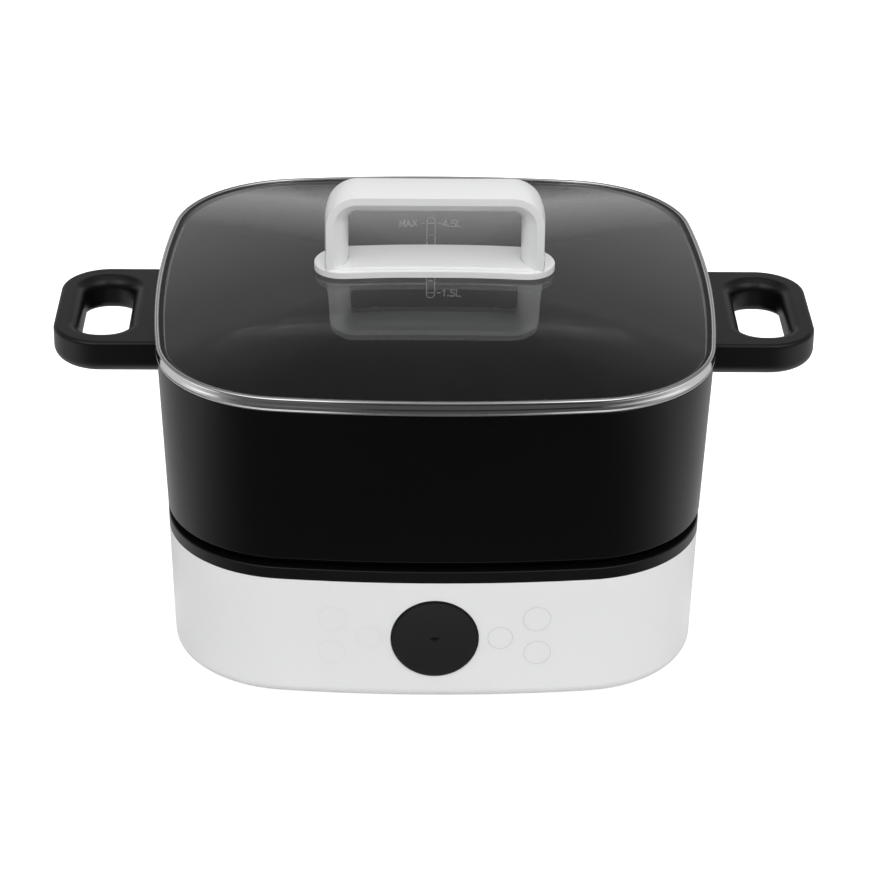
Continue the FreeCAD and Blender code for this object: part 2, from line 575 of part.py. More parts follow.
def pocket(body, sketch, length, reverse=True):
    """Cuts a sketch by a bound length; reverse cuts along the sketch's normal."""
    feature = body.newObject("PartDesign::Pocket", f"{sketch.Name}_pocket")
    feature.Profile = sketch
    feature.Reversed = reverse
    feature.setExpression("Length", length)
    doc.recompute()
    return feature


def ring(body, name, low, high, outer, inner=None, cut=False):
    """Prism between two levels with the common outline, hollow where inner is given."""
    sketch = new_sketch(body, name, offset=low)
    outline(sketch, outer)
    if inner is not None:
        outline(sketch, inner, name="n")
    make = pocket if cut else pad
    return make(body, sketch, f"{high} - {low}")


def loft(body, name, sections, cut=False, ruled=True):
    """Loft through (level, inset, share) sections of the common outline."""
    sketches = []
    for i, (level, inset, share) in enumerate(sections):
        sketch = new_sketch(body, f"{name}_{i}", offset=level)
        outline(sketch, inset, share)
        sketches.append(sketch)
    doc.recompute()
    kind = "PartDesign::SubtractiveLoft" if cut else "PartDesign::AdditiveLoft"
    feature = body.newObject(kind, name)
    feature.Profile = sketches[0]
    feature.Sections = sketches[1:]
    feature.Ruled = ruled
    doc.recompute()
    return feature


def dome(body, name, base, inset, cut=False):
    """Smooth dome over the common outline that rises by dome_rise from its base level."""
    sections = [(f"{base} + dims.dome_rise * {1 - s * s}", inset, s) for s in DOME_SHARES]
    return loft(body, name, sections, cut, ruled=False)


def edges_where(feature, test):
    """Names of a feature's edges that pass a test."""
    found = [f"Edge{i}" for i, e in enumerate(feature.Shape.Edges, start=1) if test(e)]
    if not found:
        raise RuntimeError(f"{feature.Label}: no edge to dress")
    return found


def fillet(body, feature, test, radius):
    """Rounds the edges that pass a test by a bound radius."""
    edges = edges_where(feature, test)
    dressed = body.newObject("PartDesign::Fillet", f"{feature.Name}_round")
    dressed.Base = (feature, edges)
    dressed.setExpression("Radius", radius)
    doc.recompute()
    return dressed


def at_level(edge, level):
    """True for an edge that lies at a level."""
    box = edge.BoundBox
    return abs(box.ZMin - level) < TOLERANCE and abs(box.ZMax - level) < TOLERANCE


# ---------------------------------------------------------------- pot


def make_pot_body():
    """Cast vessel with a stepped underside and four lugs for the side handles."""
    body = new_body("pot_body")
    loft(body, "pot_outside", [(POT_BOTTOM, POT_LOW_INSET, 1), (POT_RIM, POT_TOP_INSET, 1)])
    inner_low = f"({POT_LOW_INSET} + dims.pot_wall)"
    inner_top = f"({POT_TOP_INSET} + dims.pot_wall)"
    cavity = loft(body, "pot_cavity", [(POT_FLOOR, inner_low, 1), (POT_RIM, inner_top, 1)], cut=True)
    floor = number(POT_FLOOR)
    fillet(body, cavity, lambda e: at_level(e, floor), "dims.pot_floor_round")
    step = ring(body, "pot_step", POT_BOTTOM, POT_STEP, "0", "dims.boss_setback", cut=True)
    rim, low = number(POT_RIM), number(POT_BOTTOM)
    shoulder = number(POT_STEP)
    boss_reach = number("dims.outline_half - dims.boss_setback") + TOLERANCE

    def small_edge(edge):
        outside = at_level(edge, shoulder) and far_out(edge, boss_reach)
        return outside or at_level(edge, rim) or at_level(edge, low)

    fillet(body, step, small_edge, "dims.pot_edge_round")
    add_lugs(body)


def far_out(edge, reach):
    """True for an edge that stays outside a square of half width reach."""
    middle = edge.valueAt((edge.FirstParameter + edge.LastParameter) / 2)
    return max(abs(middle.x), abs(middle.y)) > reach


def add_lugs(body):
    """Two cast lugs on the left and right of the pot, each with a screw hole from below."""
    root = "(dims.outline_half - dims.pot_setback - dims.pot_wall)"
    reach = "(dims.outline_half - dims.pot_setback + dims.lug_reach)"
    lugs = new_sketch(body, "lugs", offset=LUG_LOW)
    holes = new_sketch(body, "lug_holes", offset=LUG_LOW)
    for side in (-1, 1):
        for end in (-1, 1):
            low = f"({end} * dims.lug_spacing / 2 - dims.lug_width / 2)"
            high = f"({end} * dims.lug_spacing / 2 + dims.lug_width / 2)"
            tag = f"{'lr'[side > 0]}{'fb'[end > 0]}"
            rectangle(lugs, f"{side} * {root}", low, f"{side} * {reach}", high, tag)
            spot = (f"{side} * {LUG_SCREW_X}", f"{end} * dims.lug_spacing / 2")
            circle(holes, *spot, "(dims.handle_screw_radius + dims.thread_gap)", tag)
    pad(body, lugs, "dims.lug_height")
    pocket(body, holes, "dims.handle_screw_bite + dims.hole_gap")


def make_side_handle(name, turned):
    """Loop handle with a rounded finger opening; its root follows the pot wall."""
    body = new_body(name)
    block = new_sketch(body, f"{name}_plan", offset=HANDLE_LOW)
    start = "(dims.outline_half - dims.pot_wall * 4)"
    reach, depth, corner = HANDLE_REACH, "dims.handle_half_depth", "dims.handle_corner"
    corners = [
        (start, f"0 - {depth}"),
        (f"{reach} - {corner}", f"0 - {depth}"),
        (reach, f"{corner} - {depth}"),
        (reach, f"{depth} - {corner}"),
        (f"{reach} - {corner}", depth),
        (start, depth),
    ]
    profile(block, corners, {1: (corner, -1), 3: (corner, -1)})
    rounded_rectangle(block, GRIP_LOW, f"0 - {GRIP_DEPTH}", GRIP_HIGH, GRIP_DEPTH, "dims.grip_corner")
    pad(body, block, "dims.handle_thickness")
    low_inset = f"({POT_LOW_INSET} - dims.handle_gap)"
    top_inset = f"({POT_TOP_INSET} - dims.handle_gap)"
    sections = [(POT_BOTTOM, low_inset, 1), (POT_RIM, top_inset, 1)]
    feature = loft(body, f"{name}_root", sections, cut=True)
    feature = round_handle(body, feature)
    cut_lug_sockets(body, name)
    if turned:
        body.Placement = FreeCAD.Placement(V(0, 0, 0), Rotation(V(0, 0, 1), 180))


def round_handle(body, feature):
    """Rounds the outer and inner edges of a side handle."""
    top, low = number(HANDLE_TOP), number(HANDLE_LOW)
    grip_low, grip_high = number(GRIP_LOW) - TOLERANCE, number(GRIP_HIGH) + TOLERANCE
    grip_depth = number(GRIP_DEPTH) + TOLERANCE

    def in_grip(edge):
        box = edge.BoundBox
        return box.XMin > grip_low and box.XMax < grip_high and abs(box.Center.y) < grip_depth

    def on_rim(edge):
        return not in_grip(edge) and edge.BoundBox.XMax > grip_low

    jobs = [
        (top, in_grip, "dims.grip_top_round"),
        (low, in_grip, "dims.grip_low_round"),
        (low, on_rim, HANDLE_LOW_ROUND),
        (top, on_rim, "dims.handle_top_round"),
    ]
    for level, side, radius in jobs:
        feature = fillet(body, feature, lambda e: at_level(e, level) and side(e), radius)
    return feature


def cut_lug_sockets(body, name):
    """Sockets for the lugs and stepped screw holes from below, in a side handle."""
    reach = "(dims.outline_half - dims.pot_setback + dims.lug_reach + dims.lug_gap)"
    start = "(dims.outline_half - dims.pot_wall * 4)"
    sockets = new_sketch(body, f"{name}_sockets", offset=f"{LUG_LOW} - dims.lug_gap")
    holes = new_sketch(body, f"{name}_holes", offset=HANDLE_LOW)
    heads = new_sketch(body, f"{name}_heads", offset=HANDLE_LOW)
    for end in (-1, 1):
        tag = "fb"[end > 0]
        half = "(dims.lug_width / 2 + dims.lug_gap)"
        middle = f"{end} * dims.lug_spacing / 2"
        rectangle(sockets, start, f"{middle} - {half}", reach, f"{middle} + {half}", tag)
        circle(holes, LUG_SCREW_X, middle, "(dims.handle_screw_radius + dims.hole_gap)", tag)
        circle(heads, LUG_SCREW_X, middle, "(dims.handle_head_radius + dims.hole_gap)", tag)
    pocket(body, sockets, "dims.lug_height + 2 * dims.lug_gap")
    pocket(body, holes, "dims.handle_thickness / 2")
    pocket(body, heads, "dims.handle_head_height + dims.hole_gap")


# ---------------------------------------------------------------- more features


def through(body, sketch, length):
    """Cuts a sketch to both sides of its plane."""
    feature = pocket(body, sketch, length)
    feature.SideType = "Symmetric"
    doc.recompute()
    return feature


def turned(body, name, steps, bore="0", upright=True):
    """Turned solid of (radius, from, to) steps along Z, or along Y where it isn't upright."""
    sketch = new_sketch(body, name, "XZ_Plane" if upright else "XY_Plane")
    corners = [(bore, steps[0][1])]
    for radius, low, high in steps:
        corners += [(radius, low), (radius, high)]
    corners.append((bore, steps[-1][2]))
    profile(sketch, corners)
    return revolve(body, sketch)


def revolve(body, sketch):
    """Full turn of a sketch about its vertical axis."""
    feature = body.newObject("PartDesign::Revolution", f"{sketch.Name}_turn")
    feature.Profile = sketch
    feature.ReferenceAxis = (sketch, ["V_Axis"])
    doc.recompute()
    return feature


def place(thing, x="0", y="0", z="0"):
    """Binds an object's position."""
    for axis, text in zip("xyz", (x, y, z)):
        if text != "0":
            thing.setExpression(f"Placement.Base.{axis}", text)
    return thing


def copies(name, master, places):
    """One sub-part made of separate copies of a master body, each at its own place."""
    PARTS.remove(master)
    links = []
    for i, spot in enumerate(places):
        link = doc.addObject("App::Link", f"{name}_{i}")
        link.LinkedObject = master
        place(link, *spot)
        links.append(link)
    return compound(name, links)


def compound(name, items):
    """One sub-part made of separate solids."""
    group = doc.addObject("Part::Compound", name)
    group.Label = name
    group.Links = items
    PARTS.append(group)
    doc.recompute()
    return group


def front_sketch(body, name, depth):
    """Sketch parallel to the tilted front face, at a depth behind it, centred on the disc."""
    sketch = new_sketch(body, name, "XZ_Plane", f"{FRONT_FACE} - ({depth}) * cos({TILT})")
    sketch.AttachmentOffset = FreeCAD.Placement(sketch.AttachmentOffset.Base, Rotation(V(1, 0, 0), 1))
    sketch.setExpression("AttachmentOffset.Base.y", f"dims.knob_level + ({depth}) * sin({TILT})")
    sketch.setExpression("AttachmentOffset.Rotation.Angle", TILT)
    return sketch


def on_front(body):
    """Places a body whose origin is the disc's centre on the face and whose +Y points inwards."""
    body.Placement = FreeCAD.Placement(V(0, 0, 0), Rotation(V(1, 0, 0), 1))
    place(body, "0", f"0 - {FRONT_FACE}", "dims.knob_level")
    body.setExpression("Placement.Rotation.Angle", TILT)


def block(body, name, x, y, low, length, depth, height):
    """Box on a level, centred on x and y."""
    sketch = new_sketch(body, name, offset=low)
    corners = (f"{x} - {length} / 2", f"{y} - {depth} / 2", f"{x} + {length} / 2", f"{y} + {depth} / 2")
    rectangle(sketch, *corners)
    return pad(body, sketch, height)


def make_screw(name, size, bite, grip, places, upward=True):
    """Group of equal screws; their heads start at each place and grip is what they clamp."""
    master = new_body(f"{name}_master")
    radius, head = f"dims.{size}_screw_radius", f"dims.{size}_head_height"
    steps = [(f"dims.{size}_head_radius", "0", head), (radius, head, f"{head} + {grip} + {bite}")]
    if not upward:
        steps = [(radius, f"0 - {grip} - {bite}", "0"), (steps[0][0], "0", head)]
    turned(master, f"{name}_steps", steps)
    return copies(name, master, places)


# ---------------------------------------------------------------- lid


def make_lid_rim():
    """Steel band rolled round the glass, with a flange and a skirt that drops into the pot."""
    body = new_body("lid_rim")
    lip_low = f"({BAND_TOP} - dims.band_sheet)"
    skirt_outer = "(dims.band_flange - dims.band_sheet)"
    ring(body, "band_skirt", f"({POT_RIM} - dims.skirt_drop)", POT_RIM, skirt_outer, "dims.band_flange")
    ring(body, "band_foot", POT_RIM, SEAL_LOW, "0", "dims.band_flange")
    ring(body, "band_side", SEAL_LOW, lip_low, "0", "dims.band_sheet")
    lip = ring(body, "band_top", lip_low, BAND_TOP, "0", "dims.band_lip")
    top = number(BAND_TOP)
    fillet(body, lip, lambda e: at_level(e, top), "dims.band_round")


def make_lid_seal():
    """Rubber seal under and beside the edge of the glass."""
    body = new_body("lid_seal")
    ring(body, "seal_floor", SEAL_LOW, GLASS_LOW, SEAL_INSET, f"({SEAL_INSET} + dims.seal_width)")
    ring(body, "seal_side", GLASS_LOW, GLASS_EDGE, SEAL_INSET, f"({SEAL_INSET} + dims.seal_wall)")


def make_lid_glass():
    """Domed glass with a flat edge and two screw holes."""
    body = new_body("lid_glass")
    ring(body, "glass_edge", GLASS_LOW, GLASS_EDGE, GLASS_INSET)
    dome(body, "glass_top", GLASS_EDGE, DOME_INSET)
    dome(body, "glass_under", GLASS_LOW, DOME_INSET, cut=True)
    lid_screw_holes(body, "glass_holes", GLASS_LOW, f"{GLASS_APEX} - {GLASS_LOW}", "dims.hole_gap")


def lid_screw_holes(body, name, low, length, gap):
    """Holes for the two lid handle screws."""
    holes = new_sketch(body, name, offset=low)
    for side in (-1, 1):
        tag = "lr"[side > 0]
        circle(holes, f"{side} * {LID_SCREW_X}", "0", f"(dims.lid_screw_radius + {gap})", tag)
    pocket(body, holes, length)


def slot_outline(sketch, half_length, half_depth, name="s"):
    """Slot-shaped outline with round ends, centred on the origin."""
    straight = f"({half_length} - {half_depth})"
    corners = [
        (f"0 - {straight}", f"0 - {half_depth}"),
        (straight, f"0 - {half_depth}"),
        (half_length, "0"),
        (straight, half_depth),
        (f"0 - {straight}", half_depth),
        (f"0 - {half_length}", "0"),
    ]
    profile(sketch, corners, {i: (half_depth, -1) for i in (1, 2, 4, 5)}, name=name)


def slot_prism(body, name, low, high, setback, cut=False):
    """Prism with the base plate's outline, drawn inside it by a setback."""
    sketch = new_sketch(body, name, offset=low)
    half_length = f"(dims.plate_half_length - ({setback}))"
    slot_outline(sketch, half_length, f"(dims.plate_half_depth - ({setback}))")
    make = pocket if cut else pad
    return make(body, sketch, f"{high} - {low}")


def arch_cut(body, name, top):
    """Removes what lies above the arch that the base plate follows."""
    half = "(dims.plate_half_length + dims.plate_half_depth)"
    arch = "(dims.plate_half_length^2 + dims.plate_crown^2) / (2 * dims.plate_crown)"
    end = f"{top} - {arch} + sqrt(({arch})^2 - {half}^2)"
    above = f"{top} + dims.bridge_rise"
    sketch = new_sketch(body, name, "XZ_Plane")
    corners = [(f"0 - {half}", end), (half, end), (half, above), (f"0 - {half}", above)]
    profile(sketch, corners, {0: (arch, 1)})
    return through(body, sketch, "4 * dims.plate_half_depth")


def make_lid_handle_pad():
    """Rubber pad between the base plate and the glass; its underside follows the dome."""
    body = new_body("lid_handle_pad")
    slot_prism(body, "pad_block", HANDLE_START, PAD_TOP, "dims.pad_setback")
    dome(body, "pad_hollow", f"({GLASS_EDGE} + dims.pad_gap)", DOME_INSET, cut=True)
    lid_screw_holes(body, "pad_holes", HANDLE_START, f"{PAD_TOP} - {HANDLE_START}", "dims.hole_gap")


def make_lid_handle_plate():
    """White base plate in two low tiers, arched like the glass, with seats for the legs."""
    body = new_body("lid_handle_plate")
    tier = f"({PLATE_TOP} - dims.tier_height)"
    slot_prism(body, "plate_block", HANDLE_START, PLATE_TOP, "0")
    arch_cut(body, "plate_arch", tier)
    slot_prism(body, "tier_block", PAD_TOP, PLATE_TOP, "dims.tier_setback")
    feature = arch_cut(body, "tier_arch", PLATE_TOP)
    straight = number("dims.plate_half_length - dims.plate_half_depth")
    depth = number("dims.plate_half_depth")
    lower, upper = number(f"{tier} - 1.5 * dims.plate_crown"), number(f"{tier} + dims.tier_height / 2")
    arch = number("(dims.plate_half_length^2 + dims.plate_crown^2) / (2 * dims.plate_crown)")

    def middle(edge):
        return edge.valueAt((edge.FirstParameter + edge.LastParameter) / 2)

    def on_upper_tier(edge):
        spot = middle(edge)
        fall = arch - math.sqrt(arch**2 - spot.x**2)
        return spot.z + fall > upper + TOLERANCE

    def on_outline(edge):
        spot = middle(edge)
        aside = math.hypot(max(abs(spot.x) - straight, 0), spot.y)
        return edge.BoundBox.ZMin > lower and aside > depth - TOLERANCE

    feature = fillet(body, feature, on_upper_tier, "dims.tier_height / 2")
    fillet(body, feature, on_outline, "dims.plate_edge_round")
    dome(body, "plate_hollow", f"({GLASS_EDGE} + dims.pad_gap)", DOME_INSET, cut=True)
    slot_prism(body, "pad_recess", HANDLE_START, PAD_TOP, "dims.pad_setback - dims.pad_gap", cut=True)
    lid_screw_holes(body, "plate_holes", HANDLE_START, f"{PLATE_TOP} - {HANDLE_START}", "dims.hole_gap")
    seats = new_sketch(body, "leg_seats", offset=BRIDGE_SEAT)
    for side in (-1, 1):
        half_lens(seats, side, "dims.seat_gap", "lr"[side > 0])
    pocket(body, seats, "dims.bridge_seat")


def half_lens(sketch, side, gap, name):
    """Section of a leg: crowned outside, thin edges and a full round inner face."""
    depth = f"(dims.bridge_half_depth + {gap})"
    outer = f"(dims.bridge_half + {gap} - dims.bridge_crown)"
    inner = f"({outer} - dims.bridge_edge - 2 * {gap})"
    bulge = "(dims.bridge_middle - dims.bridge_edge - dims.bridge_crown)"
    outer_radius = f"({depth}^2 + dims.bridge_crown^2) / (2 * dims.bridge_crown)"
    inner_radius = f"({depth}^2 + {bulge}^2) / (2 * {bulge})"
    corners = [
        (f"{side} * {outer}", f"0 - {depth}"),
        (f"{side} * {outer}", depth),
        (f"{side} * {inner}", depth),
        (f"{side} * {inner}", f"0 - {depth}"),
    ]
    profile(sketch, corners, {0: (outer_radius, -side), 2: (inner_radius, -side)}, name=name)


def open_path(sketch, corners, arcs, name="w"):
    """Open chain of lines and arcs through bound corners."""
    points = [V(number(x), number(y), 0) for x, y in corners]
    before = None
    for i, (start, end) in enumerate(zip(points, points[1:])):
        first, last = 1, 2
        if i in arcs:
            radius, side = arcs[i]
            item = sketch.addGeometry(arc_between(start, end, number(radius), side), False)
            size = Sketcher.Constraint("Radius", item, number(radius))
            bind(sketch, size, f"{name}{i}_radius", radius)
            if side > 0:
                first, last = 2, 1
        else:
            item = sketch.addGeometry(Part.LineSegment(start, end), False)
        if before:
            sketch.addConstraint(Sketcher.Constraint("Coincident", *before, item, first))
        place_point(sketch, item, first, f"{name}{i}", *corners[i])
        before = (item, last)
    place_point(sketch, *before, f"{name}_end", *corners[-1])


def make_lid_handle_bridge():
    """White bridge of a half-lens section, swept up, across and down."""
    body = new_body("lid_handle_bridge")
    half, corner = "dims.bridge_half", "dims.bridge_corner"
    section = new_sketch(body, "bridge_section", offset=BRIDGE_SEAT)
    half_lens(section, 1, "0", "b")
    path = new_sketch(body, "bridge_path", "XZ_Plane")
    corners = [
        (half, BRIDGE_SEAT),
        (half, f"{BRIDGE_TOP} - {corner}"),
        (f"{half} - {corner}", BRIDGE_TOP),
        (f"{corner} - {half}", BRIDGE_TOP),
        (f"0 - {half}", f"{BRIDGE_TOP} - {corner}"),
        (f"0 - {half}", BRIDGE_SEAT),
    ]
    open_path(path, corners, {1: (corner, -1), 3: (corner, -1)})
    doc.recompute()
    sweep = body.newObject("PartDesign::AdditivePipe", "bridge_sweep")
    sweep.Profile = section
    sweep.Spine = (path, [f"Edge{i}" for i in range(1, len(corners))])
    doc.recompute()
    depth = "dims.lid_screw_bite + dims.hole_gap"
    lid_screw_holes(body, "leg_holes", BRIDGE_SEAT, depth, "dims.thread_gap")


def make_lid_screws():
    """Two screws from under the glass into the legs, each on a washer."""
    reach = f"(dims.outline_half - {DOME_INSET})"
    under = f"({GLASS_LOW} + dims.dome_rise * (1 - ({LID_SCREW_X} / {reach})^2) - dims.washer_gap)"
    washer = new_body("washer_master")
    bore = "(dims.lid_screw_radius + dims.hole_gap)"
    turned(washer, "washer_steps", [("dims.washer_radius", "0 - dims.washer_height", "0")], bore)
    copies("lid_handle_washers", washer, [(f"{side} * {LID_SCREW_X}", "0", under) for side in (-1, 1)])
    head = f"({under} - dims.washer_height - dims.lid_head_height)"
    grip = f"({BRIDGE_SEAT} - {under} + dims.washer_height)"
    places = [(f"{side} * {LID_SCREW_X}", "0", head) for side in (-1, 1)]
    make_screw("lid_handle_screws", "lid", "dims.lid_screw_bite", grip, places)


def make_handle_screws():
    """Four screws from below through the side handles into the lugs."""
    places = [
        (f"{x} * {LUG_SCREW_X}", f"{y} * dims.lug_spacing / 2", HANDLE_LOW) for x, y in SIGNS
    ]
    grip = f"({LUG_LOW} - {HANDLE_LOW} - dims.handle_head_height)"
    make_screw("pot_handle_screws", "handle", "dims.handle_screw_bite", grip, places)


# ---------------------------------------------------------------- base


def make_base_shell():
    """White shell: leaning walls, round lower edge, ledge, bosses, openings front and back."""
    body = new_body("base_shell")
    sections = [(SHELL_TOP, BASE_TOP_INSET, 1), (SHELL_BOTTOM, BASE_LOW_INSET, 1)]
    outside = loft(body, "shell_outside", sections)
    low = number(SHELL_BOTTOM)
    fillet(body, outside, lambda e: at_level(e, low), "dims.shell_foot_round")
    inner_low = f"({BASE_LOW_INSET} + dims.shell_wall)"
    inner_top = f"({BASE_TOP_INSET} + dims.shell_wall)"
    sections = [(FLOOR_TOP, inner_low, 1), (SHELL_TOP, inner_top, 1)]
    inside = loft(body, "shell_inside", sections, cut=True)
    floor = number(FLOOR_TOP)
    fillet(body, inside, lambda e: at_level(e, floor), "dims.shell_foot_round - dims.shell_wall")
    ring(body, "floor_opening", SHELL_BOTTOM, FLOOR_TOP, "dims.floor_opening_setback", cut=True)
    ring(body, "ledge", FLOOR_TOP, LEDGE_TOP, "dims.ledge_out_setback", "dims.ledge_in_setback")
    add_shell_bosses(body)
    add_corner_bosses(body)
    cut_knob_opening(body)
    cut_inlet_opening(body)


def add_shell_bosses(body):
    """Bosses on the ledge for the bottom cover's screws."""
    bosses = new_sketch(body, "side_bosses", offset=LEDGE_TOP)
    holes = new_sketch(body, "side_boss_holes", offset=FLOOR_TOP)
    for i, (x, y) in enumerate(SIGNS):
        spot = (f"{x} * {SIDE_BOSS_X}", f"{y} * dims.side_boss_y")
        circle(bosses, *spot, "dims.boss_radius", f"b{i}")
        circle(holes, *spot, "(dims.case_screw_radius + dims.thread_gap)", f"h{i}")
    pad(body, bosses, "dims.side_boss_height")
    pocket(body, holes, "dims.ledge_height + dims.case_screw_bite + dims.hole_gap")


def add_corner_bosses(body):
    """Tall bosses in the corners, hollow from below, that the top cover's screws pull on."""
    bosses = new_sketch(body, "corner_bosses", offset=f"({FLOOR_TOP} - dims.shell_wall / 2)")
    tunnels = new_sketch(body, "corner_tunnels", offset=SHELL_BOTTOM)
    holes = new_sketch(body, "corner_holes", offset=CORNER_ROOF)
    for i, (x, y) in enumerate(SIGNS):
        spot = (f"{x} * {BOSS_PLACE}", f"{y} * {BOSS_PLACE}")
        circle(bosses, *spot, "dims.corner_boss_radius", f"b{i}")
        circle(tunnels, *spot, "(dims.case_head_radius + dims.hole_gap)", f"t{i}")
        circle(holes, *spot, "(dims.case_screw_radius + dims.hole_gap)", f"h{i}")
    pad(body, bosses, f"{CORNER_BOSS_TOP} - {FLOOR_TOP} + dims.shell_wall / 2")
    pocket(body, tunnels, f"{CORNER_ROOF} - {SHELL_BOTTOM}")
    pocket(body, holes, "dims.corner_boss_roof")


def bow(x):
    """How far the bowed front face lies behind its middle, at a distance to the side."""
    return f"(dims.side_arc - sqrt(dims.side_arc^2 - ({x})^2))"


def cut_knob_opening(body):
    """Round opening for the control disc and four bosses for the control board behind it."""
    opening = front_sketch(body, "knob_opening", "0")
    circle(opening, "0", "0", "(dims.knob_radius + dims.knob_gap)")
    through(body, opening, "4 * dims.shell_wall")
    start = f"({bow('dims.control_screw_x')} + dims.shell_wall / 2)"
    bosses = front_sketch(body, "control_bosses", start)
    holes = front_sketch(body, "control_boss_holes", "dims.control_board_depth")
    for i, (x, z) in enumerate(SIGNS):
        spot = (f"{x} * dims.control_screw_x", f"{z} * dims.control_screw_z")
        circle(bosses, *spot, "dims.standoff_radius", f"b{i}")
        circle(holes, *spot, "(dims.board_screw_radius + dims.thread_gap)", f"h{i}")
    pad(body, bosses, f"dims.control_board_depth - {start}", reverse=True)
    pocket(body, holes, "dims.board_screw_bite + dims.hole_gap")


def cut_inlet_opening(body):
    """Rear opening for the mains inlet with a flat recess for its flange."""
    seat = f"({INLET_FACE} - dims.inlet_flange_sheet)"
    recess = new_sketch(body, "inlet_recess", "XZ_Plane", f"0 - {seat}")
    flange_half = "(dims.inlet_half + dims.inlet_flange + dims.inlet_gap)"
    flange_rise = "(dims.inlet_rise + dims.inlet_flange + dims.inlet_gap)"
    upright_box(recess, flange_half, flange_rise, "dims.inlet_corner")
    outwards = "dims.inlet_setback + 4 * dims.inlet_flange_sheet"
    pocket(body, recess, outwards, reverse=False)
    opening = new_sketch(body, "inlet_opening", "XZ_Plane", f"0 - {seat}")
    upright_box(opening, "(dims.inlet_half + dims.inlet_gap)", "(dims.inlet_rise + dims.inlet_gap)")
    through(body, opening, "4 * dims.shell_wall")


def upright_box(sketch, half, rise, corner=None, level="dims.inlet_level"):
    """Rectangle of an upright sketch, centred on the middle line at a level."""
    corners = (f"0 - {half}", f"{level} - {rise}", half, f"{level} + {rise}")
    if corner is None:
        rectangle(sketch, *corners)
    else:
        rounded_rectangle(sketch, *corners, corner)


def make_top_cover():
    """Black cover: raised rim, deck round the heating plate, tongue and screw posts below."""
    body = new_body("base_top_cover")
    block_feature = ring(body, "cover_block", SHELL_TOP, COVER_TOP, BASE_TOP_INSET)
    top = number(COVER_TOP)
    fillet(body, block_feature, lambda e: at_level(e, top), "dims.rim_round")
    ring(body, "cover_recess", DECK_TOP, COVER_TOP, "dims.rim_setback", cut=True)
    tongue_outer = f"({BASE_TOP_INSET} + dims.shell_wall + dims.tongue_gap)"
    tongue_low = f"({SHELL_TOP} - dims.tongue_depth)"
    ring(body, "tongue", tongue_low, SHELL_TOP, tongue_outer, f"({tongue_outer} + dims.tongue_wall)")
    posts = new_sketch(body, "cover_posts", offset=CORNER_BOSS_TOP)
    holes = new_sketch(body, "cover_post_holes", offset=CORNER_BOSS_TOP)
    for i, (x, y) in enumerate(SIGNS):
        spot = (f"{x} * {BOSS_PLACE}", f"{y} * {BOSS_PLACE}")
        circle(posts, *spot, "dims.cover_post_radius", f"p{i}")
        circle(holes, *spot, "(dims.case_screw_radius + dims.thread_gap)", f"h{i}")
    pad(body, posts, f"{SHELL_TOP} - {CORNER_BOSS_TOP}")
    pocket(body, holes, "dims.case_screw_bite + dims.thread_gap")
    opening = new_sketch(body, "heater_opening", offset=SHELL_TOP)
    circle(opening, "0", "0", "(dims.plate_radius + dims.plate_gap)")
    pocket(body, opening, f"{COVER_TOP} - {SHELL_TOP}")
    screws = new_sketch(body, "dish_screw_holes", offset=SHELL_TOP)
    for i, (x, y) in enumerate(thirds(DISH_SCREW_PLACE)):
        circle(screws, x, y, "(dims.case_screw_radius + dims.thread_gap)", f"d{i}")
    pocket(body, screws, "dims.dish_screw_bite + dims.thread_gap")


def thirds(place_radius):
    """Three places on a circle, the first at the back."""
    turns = [f"({i} * 360deg / 3)" for i in range(3)]
    return [(f"{place_radius} * sin({turn})", f"{place_radius} * cos({turn})") for turn in turns]


def make_bottom_cover():
    """Bottom cover with vent slots, stem holes for the feet and standoffs for the power board."""
    body = new_body("base_bottom_cover")
    edge = "(dims.floor_opening_setback + dims.cover_play)"
    ring(body, "bottom_plate", SHELL_BOTTOM, FLOOR_TOP, edge)
    holes = new_sketch(body, "bottom_holes", offset=SHELL_BOTTOM)
    heads = new_sketch(body, "bottom_heads", offset=SHELL_BOTTOM)
    for i, (x, y) in enumerate(SIGNS):
        screw = (f"{x} * {SIDE_BOSS_X}", f"{y} * dims.side_boss_y")
        circle(holes, *screw, "(dims.case_screw_radius + dims.hole_gap)", f"s{i}")
        circle(heads, *screw, "(dims.case_head_radius + dims.hole_gap)", f"c{i}")
        foot = (f"{x} * {FOOT_PLACE}", f"{y} * {FOOT_PLACE}")
        circle(holes, *foot, "(dims.foot_stem_radius + dims.stem_gap)", f"f{i}")
    pocket(body, holes, "dims.shell_wall")
    pocket(body, heads, "dims.shell_wall / 2")
    slot = new_sketch(body, "vent_slot", offset=SHELL_BOTTOM)
    vent_y = "(dims.vent_y - dims.vent_width / 2)"
    corners = ("(dims.vent_x - dims.vent_length / 2)", vent_y)
    far = ("(dims.vent_x + dims.vent_length / 2)", "(dims.vent_y + dims.vent_width / 2)")
    rectangle(slot, *corners, *far)
    vent = pocket(body, slot, "dims.shell_wall")
    row = body.newObject("PartDesign::LinearPattern", "vent_row")
    row.Originals = [vent]
    row.Direction = (slot, ["V_Axis"])
    row.setExpression("Occurrences", "dims.vent_count")
    row.setExpression("Length", "dims.vent_pitch * (dims.vent_count - 1)")
    body.Tip = row
    doc.recompute()
    posts = new_sketch(body, "standoffs", offset=FLOOR_TOP)
    bores = new_sketch(body, "standoff_holes", offset=BOARD_LOW)
    for i, spot in enumerate(board_corners()):
        circle(posts, *spot, "dims.standoff_radius", f"p{i}")
        circle(bores, *spot, "(dims.board_screw_radius + dims.thread_gap)", f"h{i}")
    pad(body, posts, "dims.standoff_height")
    pocket(body, bores, "dims.board_screw_bite", reverse=False)


